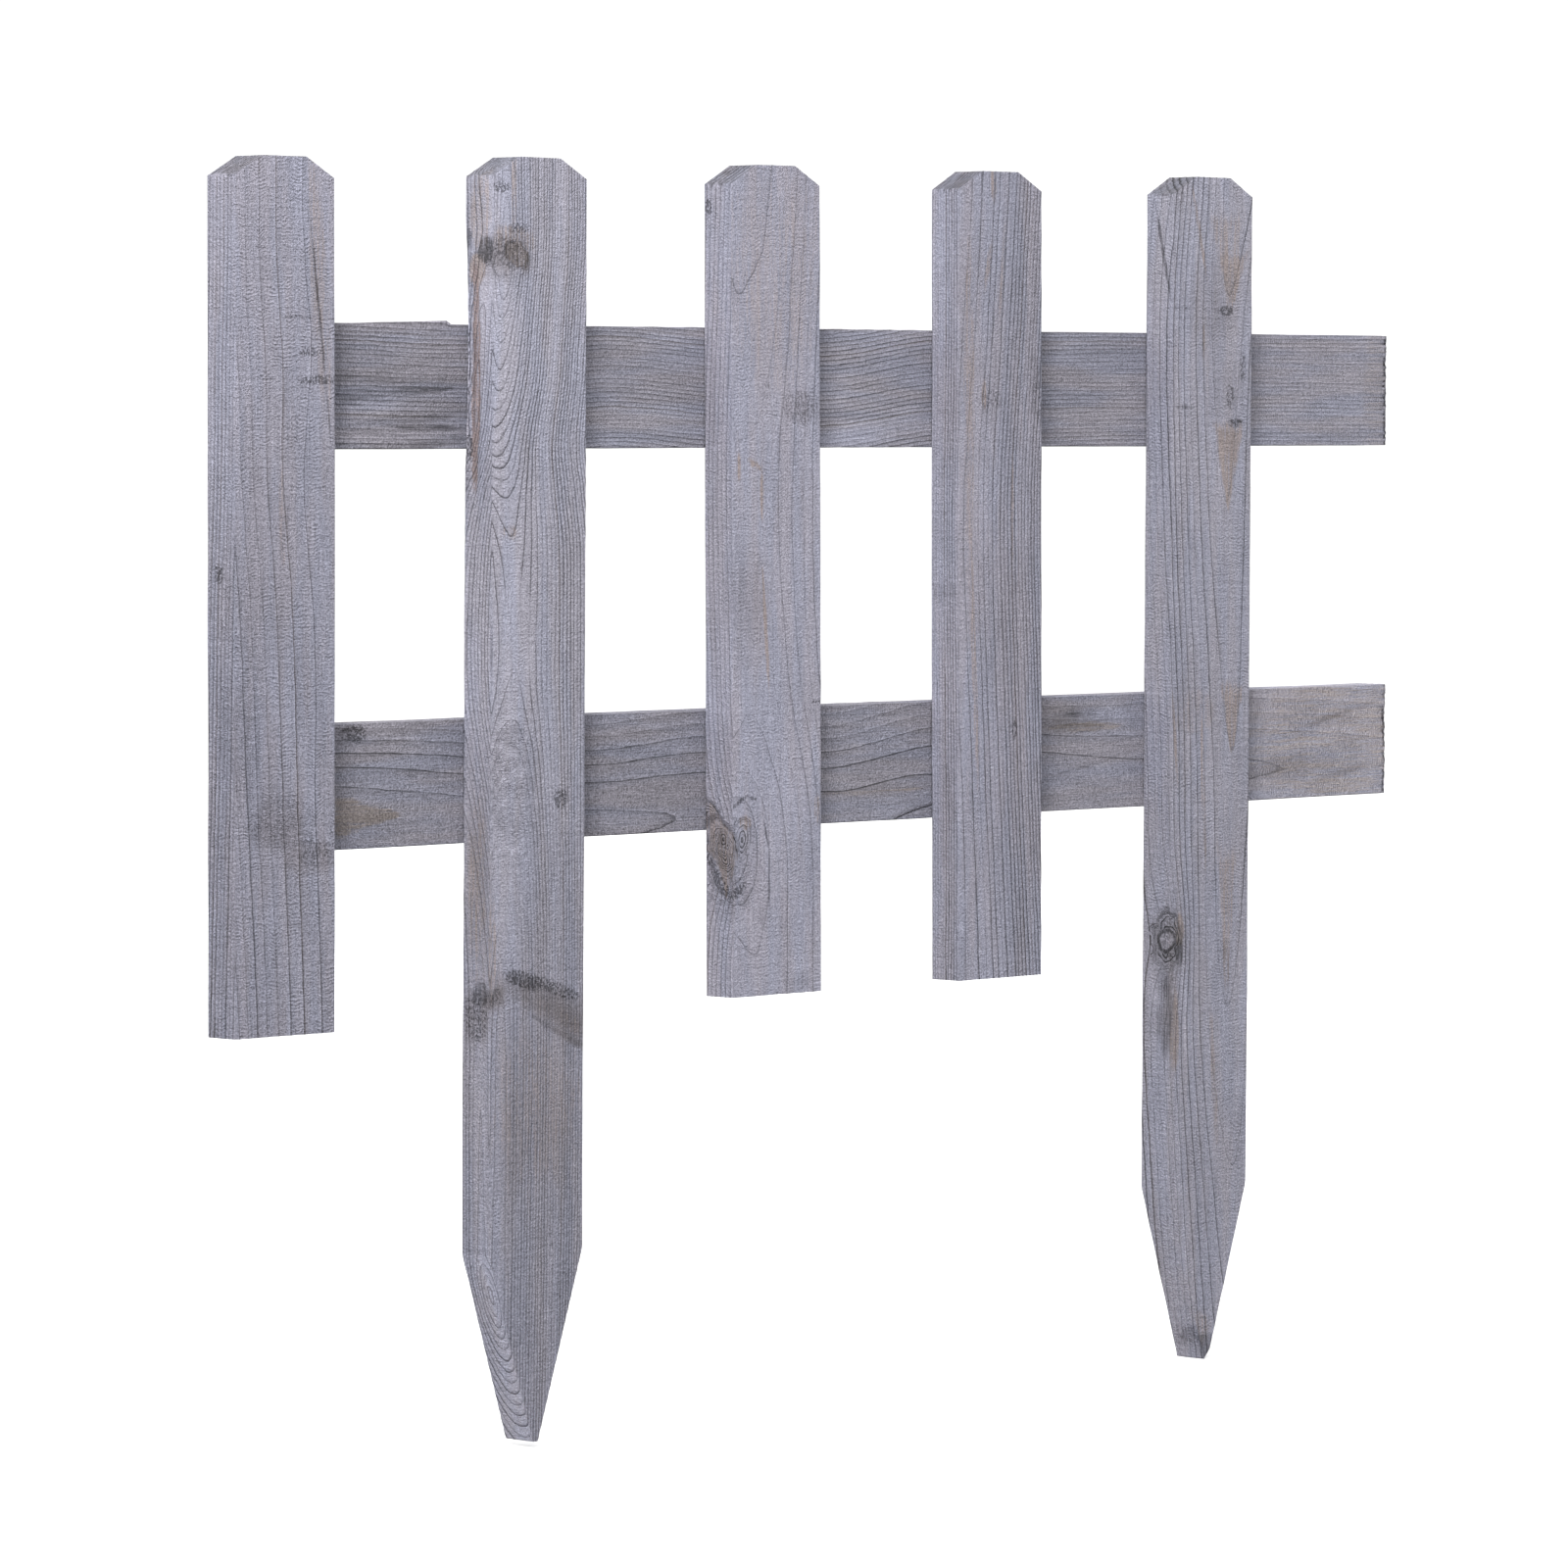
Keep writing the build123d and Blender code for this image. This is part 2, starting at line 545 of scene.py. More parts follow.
middle_picket_wood = Wood(
    seed=37,
    ring_width=3.0,
    pith=(
        (402, -24, 84), (330, -24, 87), (250, -22, 90), (160, -22, 88), (80, -16, 84), (0, -14, 84),
    ),
    ripple=0.4,
    # Tone by height: its fall towards the foot is partly painted light falling off from the top
    # down, partly the board's own weathering
    tone=((400, 1.15), (0, 1.10)),
    lines=((400, 0.65), (100, 0.75), (0, 0.8)),
    fine=((45, 102),),
    knots=(
        Knot(
            -47, 88, 7.0, 8.5, lift=0, dark=0.5, brown=0.6, fill=0.1, slant=-0.5, rough=0.2,
        ),
        Knot(
            -24.5, 77, 6.2, 9.5, lift=2, dark=0.7, brown=0.1, fill=0.1, pointed=0.3,
            slant=0.1, ring_gap=2.6,
        ),
        Knot(
            -37.5, 71, 11.0, 15.5, lift=10, reach_around=19, reach_along=30,
            dark=0.6, brown=0.65, fill=0.15, pointed=0.75, slant=-0.25, rough=0.16,
        ),
        Knot(-37.5, 77, 3.6, 4.4, lift=0, dark=0.6, brown=0.3, fill=0.75, rough=0.3),
    ),
    stains=(
        Stain("brown", 0, 345, 50, 80, 0.34, edge=0.3),
        Stain("brown", -26, 256, 1.3, 7, 1.0),
        Stain("brown", -15, 257, 5, 1.6, 1.0, tilt=-0.4),
        Stain("brown", -10, 243, 1.3, 15, 1.0),
        Stain("brown", -8, 180, 1.3, 34, 0.8, slant=-0.08),
        Stain("brown", -22, 85, 5, 4, 0.7),
        Stain("dark", -5.5, 294, 1.3, 1.3, 1.0),
        Stain("shade", -20, 190, 16, 30, 0.35, edge=0.2),
        Stain("calm", -14, 180, 12, 60, 0.8),
        Stain("brown", -36, 62, 8, 14, 0.8, taper=-1),
        Stain("specks", 17, 284, 14, 10, 0.45),
        Stain("shade", 18, 284, 15, 10, 0.25, edge=0.2),
        Stain("specks", -47, 380, 3, 4, 1.0),
        Stain("dark", -26, 95, 6, 1.6, 1.0, tilt=0.55, ragged=0.15),
        Stain("dark", -17.5, 96.6, 4.5, 1.0, 1.0, tilt=-0.35, ragged=0.15),
        Stain("dark", -8, 80, 0.8, 10, 0.8, slant=-0.24),
        Stain("dark", -5.8, 58, 0.8, 15, 0.8),
        Stain("specks", -42, 58, 10, 5, 1.0, tilt=-1.2),
        Stain("specks", -27, 51.5, 7, 3.2, 1.0, tilt=0.5),
        Stain("dark", -46, 62, 6, 7, 0.4, tilt=-1.2),
        Stain("fuzz", -33, 52, 18, 16, 1.0),
        Stain("torn", -50, 58, 6, 18, 1.0),
        Stain("brown", 28, 90, 2.5, 8, 0.7),
        Stain("specks", 28, 142, 4, 1.5, 0.8),
        Stain("dark", 14, 6, 12, 6, 0.4),
        Stain("dark", -10, 40, 7, 8, 0.3),
    ),
)

right_picket_wood = Wood(
    seed=41,
    ring_width=1.8,
    pith=((402, -28, 50), (300, -36, 50), (250, -40, 50), (150, -38, 50), (0, -30, 50)),
    ripple=0.35,
    # Tone by height: its fall towards the foot is partly painted light falling off from the top
    # down, partly the board's own weathering
    tone=((400, 1.12), (0, 1.06)),
    lines=((400, 1.0), (200, 1.1), (0, 1.3)),
    stains=(
        Stain("brown", -23, 285, 4.5, 90, 0.5),
        Stain("brown", -20, 170, 2.5, 75, 0.5, slant=-0.05),
        Stain("brown", -9, 355, 2, 14, 0.6, slant=0.2),
        Stain("brown", -5, 395, 2.5, 12, 0.6),
        Stain("brown", 1, 350, 1.2, 30, 0.6, slant=0.08),
        Stain("specks", -7, 288, 10, 8, 0.42),
        Stain("brown", -12, 291, 1.8, 8, 0.8),
        Stain("specks", 27, 290, 4, 20, 0.4),
        Stain("calm", -20, 250, 8, 120, 0.6),
        Stain("dark", -40, 193, 10, 6, 0.4),
        Stain("brown", 9, 235, 1.2, 30, 0.6),
        Stain("specks", 10, 124, 2.5, 6, 0.7),
        Stain("pale", -29, 27, 2, 3, 1.0),
        Stain("dark", -20, 60, 10, 40, 0.15),
    ),
)

right_stake_wood = Wood(
    seed=53,
    ring_width=3.2,
    pith=(
        (402, 20, -26), (340, 12, -28.8), (235, 12, -32), (108, 17, -35.2), (-20, 15, -38.4),
        (-110, 20, -41.6), (-205, 26, -45),
    ),
    wander=0.12,
    # Tone by height: its fall towards the foot is partly painted light falling off from the top
    # down, partly the board's own weathering
    tone=((400, 1.16), (250, 1.08), (60, 1.02), (-200, 1.0)),
    ripple=0.5,
    lines=((400, 1.1), (0, 1.2), (-200, 1.2)),
    fine=((-16, 34),),
    knots=(
        Knot(
            -32, 13, 10.5, 14.5, lift=12, reach_around=16, reach_along=34,
            dark=0.75, brown=0.1, fill=0.12, ring_gap=2.4, rough=0.3, rim=0.7,
        ),
        Knot(
            -33, 12.5, 6.4, 5.6, lift=0, dark=1.2, brown=0.0, fill=0.0, ring_gap=30, rough=0.35,
        ),
    ),
    stains=(
        Stain("shade", -31, 11, 17, 24, 0.5, edge=0.2),
        Stain("pale", -33.5, 12.5, 5, 4.5, 1.2),
        Stain("specks", -31, 12, 11, 14, 0.5),
        Stain("shade", -30, -20, 10, 28, 0.6, edge=0.2),
        Stain("calm", 13, 310, 12, 110, 0.6),
        Stain("calm", 14, 110, 12, 60, 0.6),
        Stain("shade", 4, 335, 26, 30, 0.3, edge=0.2),
        Stain("shade", 10, 295, 18, 24, 0.25, edge=0.2),
        Stain("brown", -23, 18, 4, 9, 0.7),
        Stain("dark", -23, 6, 3, 8, 0.7),
        Stain("fuzz", -34, 4, 10, 22, 0.7),
        Stain("brown", -25, -28, 4.0, 26, 0.55, slant=-0.05, edge=0.2),
        Stain("pale", -18, -26, 2.2, 28, 0.6, slant=-0.1),
        Stain("pale", -36, -18, 6, 7, 0.5, slant=-0.5),
        Stain("calm", 14, 4, 13, 44, 0.7),
        Stain("dark", -38.5, 364, 1.2, 27, 0.9, slant=-0.22),
        Stain("brown", -11, 375, 1.4, 30, 0.7, slant=-0.25),
        Stain("brown", -7, 318, 1.4, 11, 0.8),
        Stain("brown", 12, 360, 16, 26, 0.5, taper=-1),
        Stain("brown", 15, 350, 13, 15, 0.9, taper=-1),
        Stain("specks", 10, 334, 7, 3, 1.0),
        Stain("specks", 24, 305, 3, 9, 0.6),
        Stain("specks", 14, 290, 4, 8, 0.6),
        Stain("specks", 18, 277, 7, 2.5, 0.7),
        Stain("dark", 18, 277, 6, 1.5, 0.8),
        Stain("brown", 13, 254, 12, 24, 0.9, taper=-1),
        Stain("dark", 13, 262, 8, 14, 0.35, taper=-1),
        Stain("dark", -22, 284, 9, 0.9, 0.8),
        Stain("dark", -24, 336, 8, 1.2, 0.8),
        Stain("brown", 17, 124, 10, 19, 0.9, taper=-1),
        Stain("brown", -14, 129, 17, 11, 0.35, edge=0.9),
        Stain("brown", -27, 115, 1.6, 26, 0.6, slant=-0.1),
        Stain("brown", -5, 90, 1.6, 50, 0.6, slant=-0.05),
        Stain("brown", 14, 20, 8, 42, 0.5, taper=-0.9),
        Stain("dark", 14, -6, 7, 18, 0.4, taper=-0.9),
        Stain("dark", -34, -25, 7, 22, 0.6),
        Stain("brown", -26, -35, 4, 22, 0.8),
        Stain("brown", 5, -60, 2.5, 40, 0.5, slant=-0.08),
        Stain("dark", -2, -197, 14, 7, 0.8),
        Stain("dark", -26, -193, 26, 10, 0.8, edge=0.2),
        Stain("brown", -6, -188, 10, 10, 0.5),
    ),
)

upper_rail_wood = Wood(
    seed=67,
    ring_width=2.1,
    pith=(
        (-157, -60, 6), (20, -60, 6), (60, -57, 6), (130, -61, 6), (215, -66, 6), (290, -58, 6),
        (380, -57, 6), (644, -57, 6),
    ),
    wander=0.5,
    ripple=0.5,
    # Tone along the rail: its low values between the pickets are partly painted shade from the
    # pickets in front, partly the rail's own weathering
    tone=(
        (-157, 0.88), (-80, 0.88), (80, 0.93), (240, 1.05),
        (400, 0.90), (560, 1.04), (644, 1.06),
    ),
    lines=((-157, 0.95), (80, 0.75), (240, 1.1), (400, 0.65), (560, 0.35), (644, 0.35)),
    stains=(
        Stain("dark", 3, -90, 2.2, 45, 0.5, slant=-0.03),
        Stain("dark", -1, -58, 3, 30, 0.6, slant=0.06),
        Stain("dark", -3, -95, 3, 30, 0.5, slant=0.05),
        Stain("dark", -15, -64, 2.0, 36, 0.6, slant=0.05),
        Stain("dark", -19, -54, 2.2, 28, 0.6, slant=-0.03),
        Stain("dark", -26, -48, 2.5, 26, 0.5, slant=0.10),
        Stain("fuzz", -10, -70, 22, 50, 0.6),
        Stain("pale", -10, -85, 3, 28, 0.6, slant=0.05),
        Stain("pale", -24, -92, 2, 22, 0.7),
        Stain("pale", -22, 235, 7, 26, 0.6),
        Stain("ripple", 0, 560, 40, 90, 0.9),
        Stain("torn", 0, 643, 40, 3, 1.0),
        Stain("brown", 0, 636, 40, 14, 0.35),
    ),
)

lower_rail_wood = Wood(
    seed=79,
    ring_width=3.6,
    pith=(
        (-157, -18, 50), (-60, -19, 51.5), (60, -24, 53.5), (130, -19, 54.5), (215, -26, 56),
        (290, -15, 57), (380, -18, 58.5), (540, -14, 61), (644, -18, 62),
    ),
    wander=0.15,
    ripple=0.5,
    # Tone along the rail: its low values between the pickets are partly painted shade from the
    # pickets in front, partly the rail's own weathering
    tone=(
        (-157, 0.79), (80, 0.80), (240, 0.86), (400, 0.88),
        (500, 1.04), (560, 1.23), (644, 1.27),
    ),
    lines=((-157, 1.35), (80, 1.1), (240, 1.35), (400, 1.1), (560, 0.6), (644, 0.6)),
    stains=(
        Stain("brown", -14, -92, 11, 24, 1.0, taper=1),
        Stain("dark", -14, -92, 11, 24, 0.25, taper=1),
        Stain("specks", 24, -100, 5, 9, 0.7),
        Stain("dark", 24, -102, 4, 10, 0.5),
        Stain("calm", -18, -60, 14, 30, 0.8),
        Stain("brown", -14, 250, 2.0, 40, 0.5),
        Stain("brown", 13, 405, 3, 28, 0.7),
        Stain("dark", 16, 400, 6, 34, 0.4),
        Stain("pale", 18, 425, 6, 12, 0.6),
        Stain("brown", 0, 600, 40, 75, 0.5),
        Stain("ripple", 0, 570, 40, 90, 1.0),
        Stain("shade", 17, 388, 11, 18, 0.6, edge=0.2),
        Stain("dark", 20, 396, 4, 9, 0.6, edge=0.3),
        Stain("dark", -8, 398, 1.4, 46, 0.5, slant=0.17, ragged=0.6, edge=0.2),
        Stain("shade", -12, 560, 8, 36, 0.45, slant=0.1, edge=0.2),
        Stain("pale", 2, 590, 5, 42, 0.6, slant=0.15, edge=0.2),
        Stain("shade", 13, 600, 2.0, 34, 0.6, slant=0.2, edge=0.2),
        Stain("shade", -16, 612, 2.0, 26, 0.6, slant=0.15, edge=0.2),
        Stain("fuzz", 0, 590, 22, 44, 0.6),
        Stain("torn", 0, 643, 40, 3, 1.0),
    ),
)


@dataclass
class Board:
    """A board's place and outline. A rail lies along X; a picket stands and may lean."""

    node: str
    slot: str
    wood: Wood
    row_length: float
    place: int = 0
    lean: float = 0.0
    rail: bool = False
    pointed: bool = False
    chipped: bool = False
    waned: bool = False
    splintered: bool = False

    def __post_init__(self):
        low, high = (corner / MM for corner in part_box(self.node))
        self.low = low
        self.high = high
        if self.rail:
            self.width = high.z - low.z
            self.start = low.x
            self.end = high.x
            return
        self.width = picket_width
        sine = math.sin(math.radians(abs(self.lean)))
        cosine = math.cos(math.radians(self.lean))
        flat_half = picket_width / 2 - ear_width
        foot_half = tip_width / 2 if self.pointed else picket_width / 2
        top = high.z - lean_pivot_height - flat_half * sine
        foot = low.z - lean_pivot_height + foot_half * sine
        self.end = lean_pivot_height + top / cosine
        self.start = lean_pivot_height + foot / cosine


boards = [
    Board("left_picket", "picket_wood", left_picket_wood, picket_row, place=-1, lean=0.2),
    Board(
        "left_stake", "stake_wood", left_stake_wood, stake_row,
        place=0, lean=0.45, pointed=True, waned=True,
    ),
    Board("middle_picket", "picket_wood", middle_picket_wood, picket_row, place=1, lean=-0.15),
    Board("right_picket", "picket_wood", right_picket_wood, picket_row, place=2, lean=-0.1),
    Board(
        "right_stake", "stake_wood", right_stake_wood, stake_row,
        place=3, lean=0.35, pointed=True, chipped=True,
    ),
    Board("upper_rail", "rail_wood", upper_rail_wood, rail_row, rail=True, splintered=True),
    Board("lower_rail", "rail_wood", lower_rail_wood, rail_row, rail=True),
]


# Growth rings and marks


def unevenness_at(wood, kind, places, shift=0.0):
    """One kind of unevenness, from -1 to 1, at places given as arrays of distances across,
    along and in depth."""
    size, seed_step, layers = unevenness[kind]
    points = np.column_stack([place / length for place, length in zip(places, size)])
    return layered_noise(points + shift, wood.seed + seed_step, layers)


def board_ring(wood, across, along, depth, around):
    """Growth rings counted from the pith, bent round the knots."""
    heights, pith_across, pith_depth = zip(*wood.pith)
    lift = np.zeros(len(across))
    for knot in wood.knots:
        away = (around - knot.around) ** 2 / knot.reach_around**2
        away = away + (along - knot.along) ** 2 / knot.reach_along**2
        lift += knot.lift * np.exp(-away)
    radius = np.hypot(
        across - smooth_path(heights, pith_across, along),
        depth - smooth_path(heights, pith_depth, along) + lift,
    )
    wander = unevenness_at(wood, "wander", (across, along, depth), wood.seed)
    quiver = unevenness_at(wood, "quiver", (across, along, depth), wood.seed)
    return radius / wood.ring_width + wood.wander * (wander + quiver_share * quiver)


def knot_fields(wood, around, along, board_rings):
    """The rings with each knot's own small rings in place of the board's, and the knots'
    darkness, brownness and extent."""
    count = len(around)
    dark = np.zeros(count)
    brown = np.zeros(count)
    inside = np.zeros(count)
    turned = (
        turn_cosine * around + turn_sine * along,
        turn_cosine * along - turn_sine * around,
        np.zeros(count),
    )
    jitter = unevenness_at(wood, "knots", turned, knot_noise_start)
    rings = board_rings
    for knot in wood.knots:
        along_gap = along - knot.along
        nearest = np.argmin(np.hypot(around - knot.around, along_gap))
        middle_ring = math.floor(board_rings[nearest]) + middle_ring_share
        around_gap = around - knot.around - knot.slant * along_gap
        narrowing = 1 + knot.pointed * np.clip(along_gap / knot.tall, -1, 0)
        away = np.hypot(around_gap / (knot.wide * narrowing), along_gap / knot.tall)
        away = away + knot.rough * jitter
        core = 1 - smooth_step(away, core_start, core_end)
        rim_width = np.clip(rim_thickness / knot.wide, thinnest_rim, thickest_rim)
        rim = np.exp(-(((away - rim_place) / rim_width) ** 2))
        rim = rim * (rim_darkness + rim_unevenness * jitter) * knot.rim
        own_rings = middle_ring + away * max(knot.wide, knot.tall) / knot.ring_gap
        rings = rings * (1 - core) + own_rings * core
        dark = np.maximum(dark, knot.dark * np.maximum(knot.fill * core, rim))
        brown = np.maximum(brown, knot.brown * core)
        inside = np.maximum(inside, core)
    return rings, dark, brown, inside


def stain_field(wood, kind, around, along):
    """How strong one kind of mark is over the board, from 0 to 1."""
    total = np.zeros(len(around))
    for number, stain in enumerate(wood.stains):
        if stain.kind != kind:
            continue
        along_gap = along - stain.along - stain.tilt * (around - stain.around)
        around_gap = around - stain.around - stain.slant * along_gap
        noise_depth = np.full(len(around), number * stain_noise_step)
        rough = unevenness_at(wood, "stains", (around, along, noise_depth))
        narrowing = (along_gap / stain.tall * np.sign(stain.taper) + 1) / 2
        taper = abs(stain.taper) * np.clip(narrowing, 0, 1)
        width = stain.wide * (taper_start_width - taper)
        away = np.hypot(around_gap / width, along_gap / stain.tall)
        if stain.taper:
            away = np.maximum(abs(around_gap) / width, abs(along_gap) / stain.tall)
        away = away + stain.ragged * stain_raggedness * rough
        mark = stain.amount * (1 - smooth_step(away, stain.edge, stain_end))
        total = np.maximum(total, mark)
    return total


# Board meshes


def outline(board, along):
    """The board's left and right edges at a height, as distances from its centre line."""
    half = np.full(len(along), board.width / 2)
    if board.rail:
        return half, half.copy()
    ear_start = board.end - ear_drop
    half -= ear_width * np.clip((along - ear_start) / ear_drop, 0, 1)
    right = half.copy()
    if board.pointed:
        taper = (picket_width - tip_width) / 2 / point_length
        shoulder = board.start + point_length
        narrowed = picket_width / 2 - taper * (shoulder - along)
        half = np.minimum(half, narrowed)
        right = np.minimum(right, narrowed)
    if board.chipped:
        chip_top = tip_width / 2 + taper * chip_height
        chip_foot = tip_width / 2 - chip_width
        share = np.clip((along - board.start) / chip_height, 0, 1)
        chipped = chip_foot + (chip_top - chip_foot) * share
        right = np.where(share < 1, np.minimum(right, chipped), right)
    return half, right


def row_levels(board):
    """The heights of the mesh rows, with one close to either end to keep its edge crisp."""
    if board.rail:
        levels = graded_levels(board, board.start, board.end)
    else:
        levels = picket_levels(board)
    return np.concatenate((
        [board.start, board.start + end_row], levels[1:-1], [board.end - end_row, board.end],
    ))


def picket_levels(board):
    """A picket's row heights, closer together where the outline slopes."""
    ear_start = board.end - ear_drop
    levels = [np.linspace(ear_start, board.end, ear_rows + 1)]
    body_start = board.start
    if board.pointed:
        body_start = board.start + chip_height
        levels.insert(0, np.linspace(board.start, body_start, tip_rows + 1)[:-1])
    levels.insert(-1, graded_levels(board, body_start, ear_start)[:-1])
    return np.concatenate(levels)


def graded_levels(board, start, end):
    """Row heights from start to end, closer together along the board's fine stretches."""
    samples = np.linspace(start, end, 4001)
    row_length = np.full(len(samples), board.row_length)
    for low, high in board.wood.fine:
        outside = np.maximum(low - samples, samples - high)
        fade = smooth_step(outside, 0, fine_row_fade)
        graded = fine_row + (board.row_length - fine_row) * fade
        row_length = np.minimum(row_length, graded)
    rows_so_far = np.concatenate(([0], np.cumsum(np.diff(samples) / row_length[1:])))
    count = round(rows_so_far[-1])
    return np.interp(np.linspace(0, rows_so_far[-1], count + 1), rows_so_far, samples)


def section_shape():
    """The front of the rounded section at each grid line: its place as a share of the
    straight width, and the shares of the arris radius to add to its place and its depth."""
    straight = np.linspace(-1, 1, cells_across - 3)
    bends = np.sin(arris_turns[:2])
    dips = 1 - np.cos(arris_turns[:2])
    width_share = np.concatenate(([-1, -1], straight, [1, 1]))
    width_bend = np.concatenate((-bends[::-1], np.zeros(len(straight)), bends))
    width_dip = np.concatenate((dips[::-1], np.zeros(len(straight)), dips))
    return width_share, width_bend, width_dip


def perimeter_points(left, right, thickness):
    """The section's outline at every row, as distances across and in depth. It runs over
    the front from left to right, back along the back, and up the left side."""
    width_share, width_bend, width_dip = section_shape()
    radius = np.minimum(arris_radius, (left + right) / 5)[:, None]
    middle = ((right - left) / 2)[:, None]
    straight_half = ((left + right) / 2)[:, None] - radius
    front_across = middle + straight_half * width_share + radius * width_bend
    front_depth = radius * width_dip
    side_share = np.linspace(0, 1, cells_deep - 3)
    corner_depth = radius * (1 - np.cos(arris_turns[2:]))
    side_depth = np.concatenate(
        (corner_depth, radius + (thickness - 2 * radius) * side_share, thickness - corner_depth),
        axis=1,
    )
    side_bulge = np.ones(cells_deep - 1)
    side_bulge[[0, -1]] = math.sin(arris_turns[2])
    right_across = middle + straight_half + radius * side_bulge
    left_across = middle - straight_half - radius * side_bulge
    across = np.concatenate(
        (front_across, right_across, front_across[:, ::-1], left_across[:, ::-1]), axis=1
    )
    depth = np.concatenate(
        (front_depth, side_depth, thickness - front_depth[:, ::-1], side_depth[:, ::-1]), axis=1
    )
    return across, depth


def inward_directions():
    """For each point round the section, the unit direction into the wood (across, depth)."""
    front = np.zeros((cells_across + 1, 2))
    front[:, 1] = 1
    for step, turn in ((1, arris_turns[0]), (0, arris_turns[1])):
        front[step] = (math.sin(turn), math.cos(turn))
        front[-1 - step] = (-math.sin(turn), math.cos(turn))
    right = np.zeros((cells_deep - 1, 2))
    right[:, 0] = -1
    right[0] = (-math.cos(arris_turns[0]), math.sin(arris_turns[0]))
    right[-1] = (-math.cos(arris_turns[0]), -math.sin(arris_turns[0]))
    back = front[::-1] * (1, -1)
    left = right[::-1] * (-1, 1)
    return np.concatenate((front, right, back, left))


def surface_around(across, depth, width, thickness):
    """The way round the surface from the front's centre line, negative to the left."""
    half = width / 2
    front_count = cells_across + 1
    side_count = cells_deep - 1
    around = np.empty_like(across)
    front = slice(0, front_count)
    right = slice(front_count, front_count + side_count)
    back = slice(front_count + side_count, 2 * front_count + side_count)
    left = slice(2 * front_count + side_count, across.shape[1])
    around[:, front] = across[:, front]
    around[:, right] = half + depth[:, right]
    around[:, back] = 2 * half + thickness - across[:, back]
    around[:, left] = -half - depth[:, left]
    return around


def wane_shift(along, depth):
    """How far the bark side has worn away from the left stake's rear left arris."""
    angle = math.atan2(wane_depth, wane_width)
    bite = wane_width * math.sin(angle)
    scoop_radius = (wane_length**2 / 4 + bite**2) / (2 * bite)
    local_bite = bite - (along - wane_height) ** 2 / (2 * scoop_radius)
    shift = (local_bite - (board_thickness - depth) * math.sin(angle)) / math.cos(angle)
    return np.maximum(shift, 0)


def splinter_rise(across, along, depth, width):
    """How far the splinter along the upper rail's top front arris stands up."""
    share = (along - splinter_start) / (splinter_end - splinter_start)
    rise = np.where(share <= 1, splinter_height * np.clip(share, 0, 1), 0)
    near_top = smooth_step(across, width / 2 - splinter_width, width / 2 - 0.4)
    near_front = 1 - smooth_step(depth, splinter_depth - 1.0, splinter_depth)
    return rise * near_top * near_front


def surface_fields(board, across, along, depth, around):
    """Everything that the mesh and its material need to know at each point of a board."""
    wood = board.wood
    rings = board_ring(wood, across, along, depth, around)
    rings, knot_dark, knot_brown, knot = knot_fields(wood, around, along, rings)
    fields = {kind: stain_field(wood, kind, around, along) for kind in mark_kinds}
    fields["dark"] = np.maximum(fields["dark"], knot_dark)
    fields["brown"] = np.maximum(fields["brown"], knot_brown)
    fields["ripple"] = np.maximum(fields["ripple"], wood.ripple)
    fields["knot"] = knot
    for key, stations in (("tone", wood.tone), ("lines", wood.lines)):
        heights, levels = zip(*stations)
        fields[key] = smooth_path(heights, levels, along)
    fields["lines"] = fields["lines"] * (1 - calm_weakening * fields["calm"])
    fields["lines"] = np.maximum(fields["lines"], knot_lines * knot)
    fields["ring"] = rings
    fields["even"] = np.full(len(rings), wood.even)
    return fields


def surface_sink(board, across, along, depth, fields):
    """How far the real, rough surface lies below the sawn one."""
    wood = board.wood
    places = (across, along, depth)
    ring_part = fields["ring"] % 1
    groove = smooth_step(ring_part, 0.0, 0.35) * (1 - smooth_step(ring_part, 0.6, 0.95))
    broad = unevenness_at(wood, "broad", places)
    lumps = unevenness_at(wood, "lumps", places)
    splinters = unevenness_at(wood, "splinters", places)
    sink = groove_depth * groove + broad_depth * (broad + 1) + lump_depth * (lumps + 1)
    sink += fields["bark"] * (bark_depth + bark_lump_depth * lumps)
    sink += fuzz_depth * fields["fuzz"] * (1 + lumps)
    sink += torn_depth * fields["torn"] * np.clip(0.5 + splinters, 0, 1.5)
    sink += cut_depth * fields["cut"] * np.clip(0.5 + splinters, 0, 1.5)
    return sink + surface_allowance


def ring_pace(board, rings, across, along, depth, shape):
    """Rings crossed by each millimetre of surface, so that a line keeps its real width
    wherever the saw met the rings."""
    pace = np.full(len(rings), 1 / board.wood.ring_width)
    skin = shape[0] * shape[1]
    grid = rings[:skin].reshape(shape)
    across, along, depth = (values[:skin].reshape(shape) for values in (across, along, depth))
    round_step = np.hypot(*(np.roll(v, -1, 1) - np.roll(v, 1, 1) for v in (across, depth)))
    round_change = np.roll(grid, -1, 1) - np.roll(grid, 1, 1)
    up_change = np.gradient(grid, axis=0) / np.gradient(along, axis=0)
    slope = np.hypot(round_change / np.maximum(round_step, 0.05), up_change)
    pace[:skin] = np.clip(slope, least_pace, most_pace).ravel()
    return pace


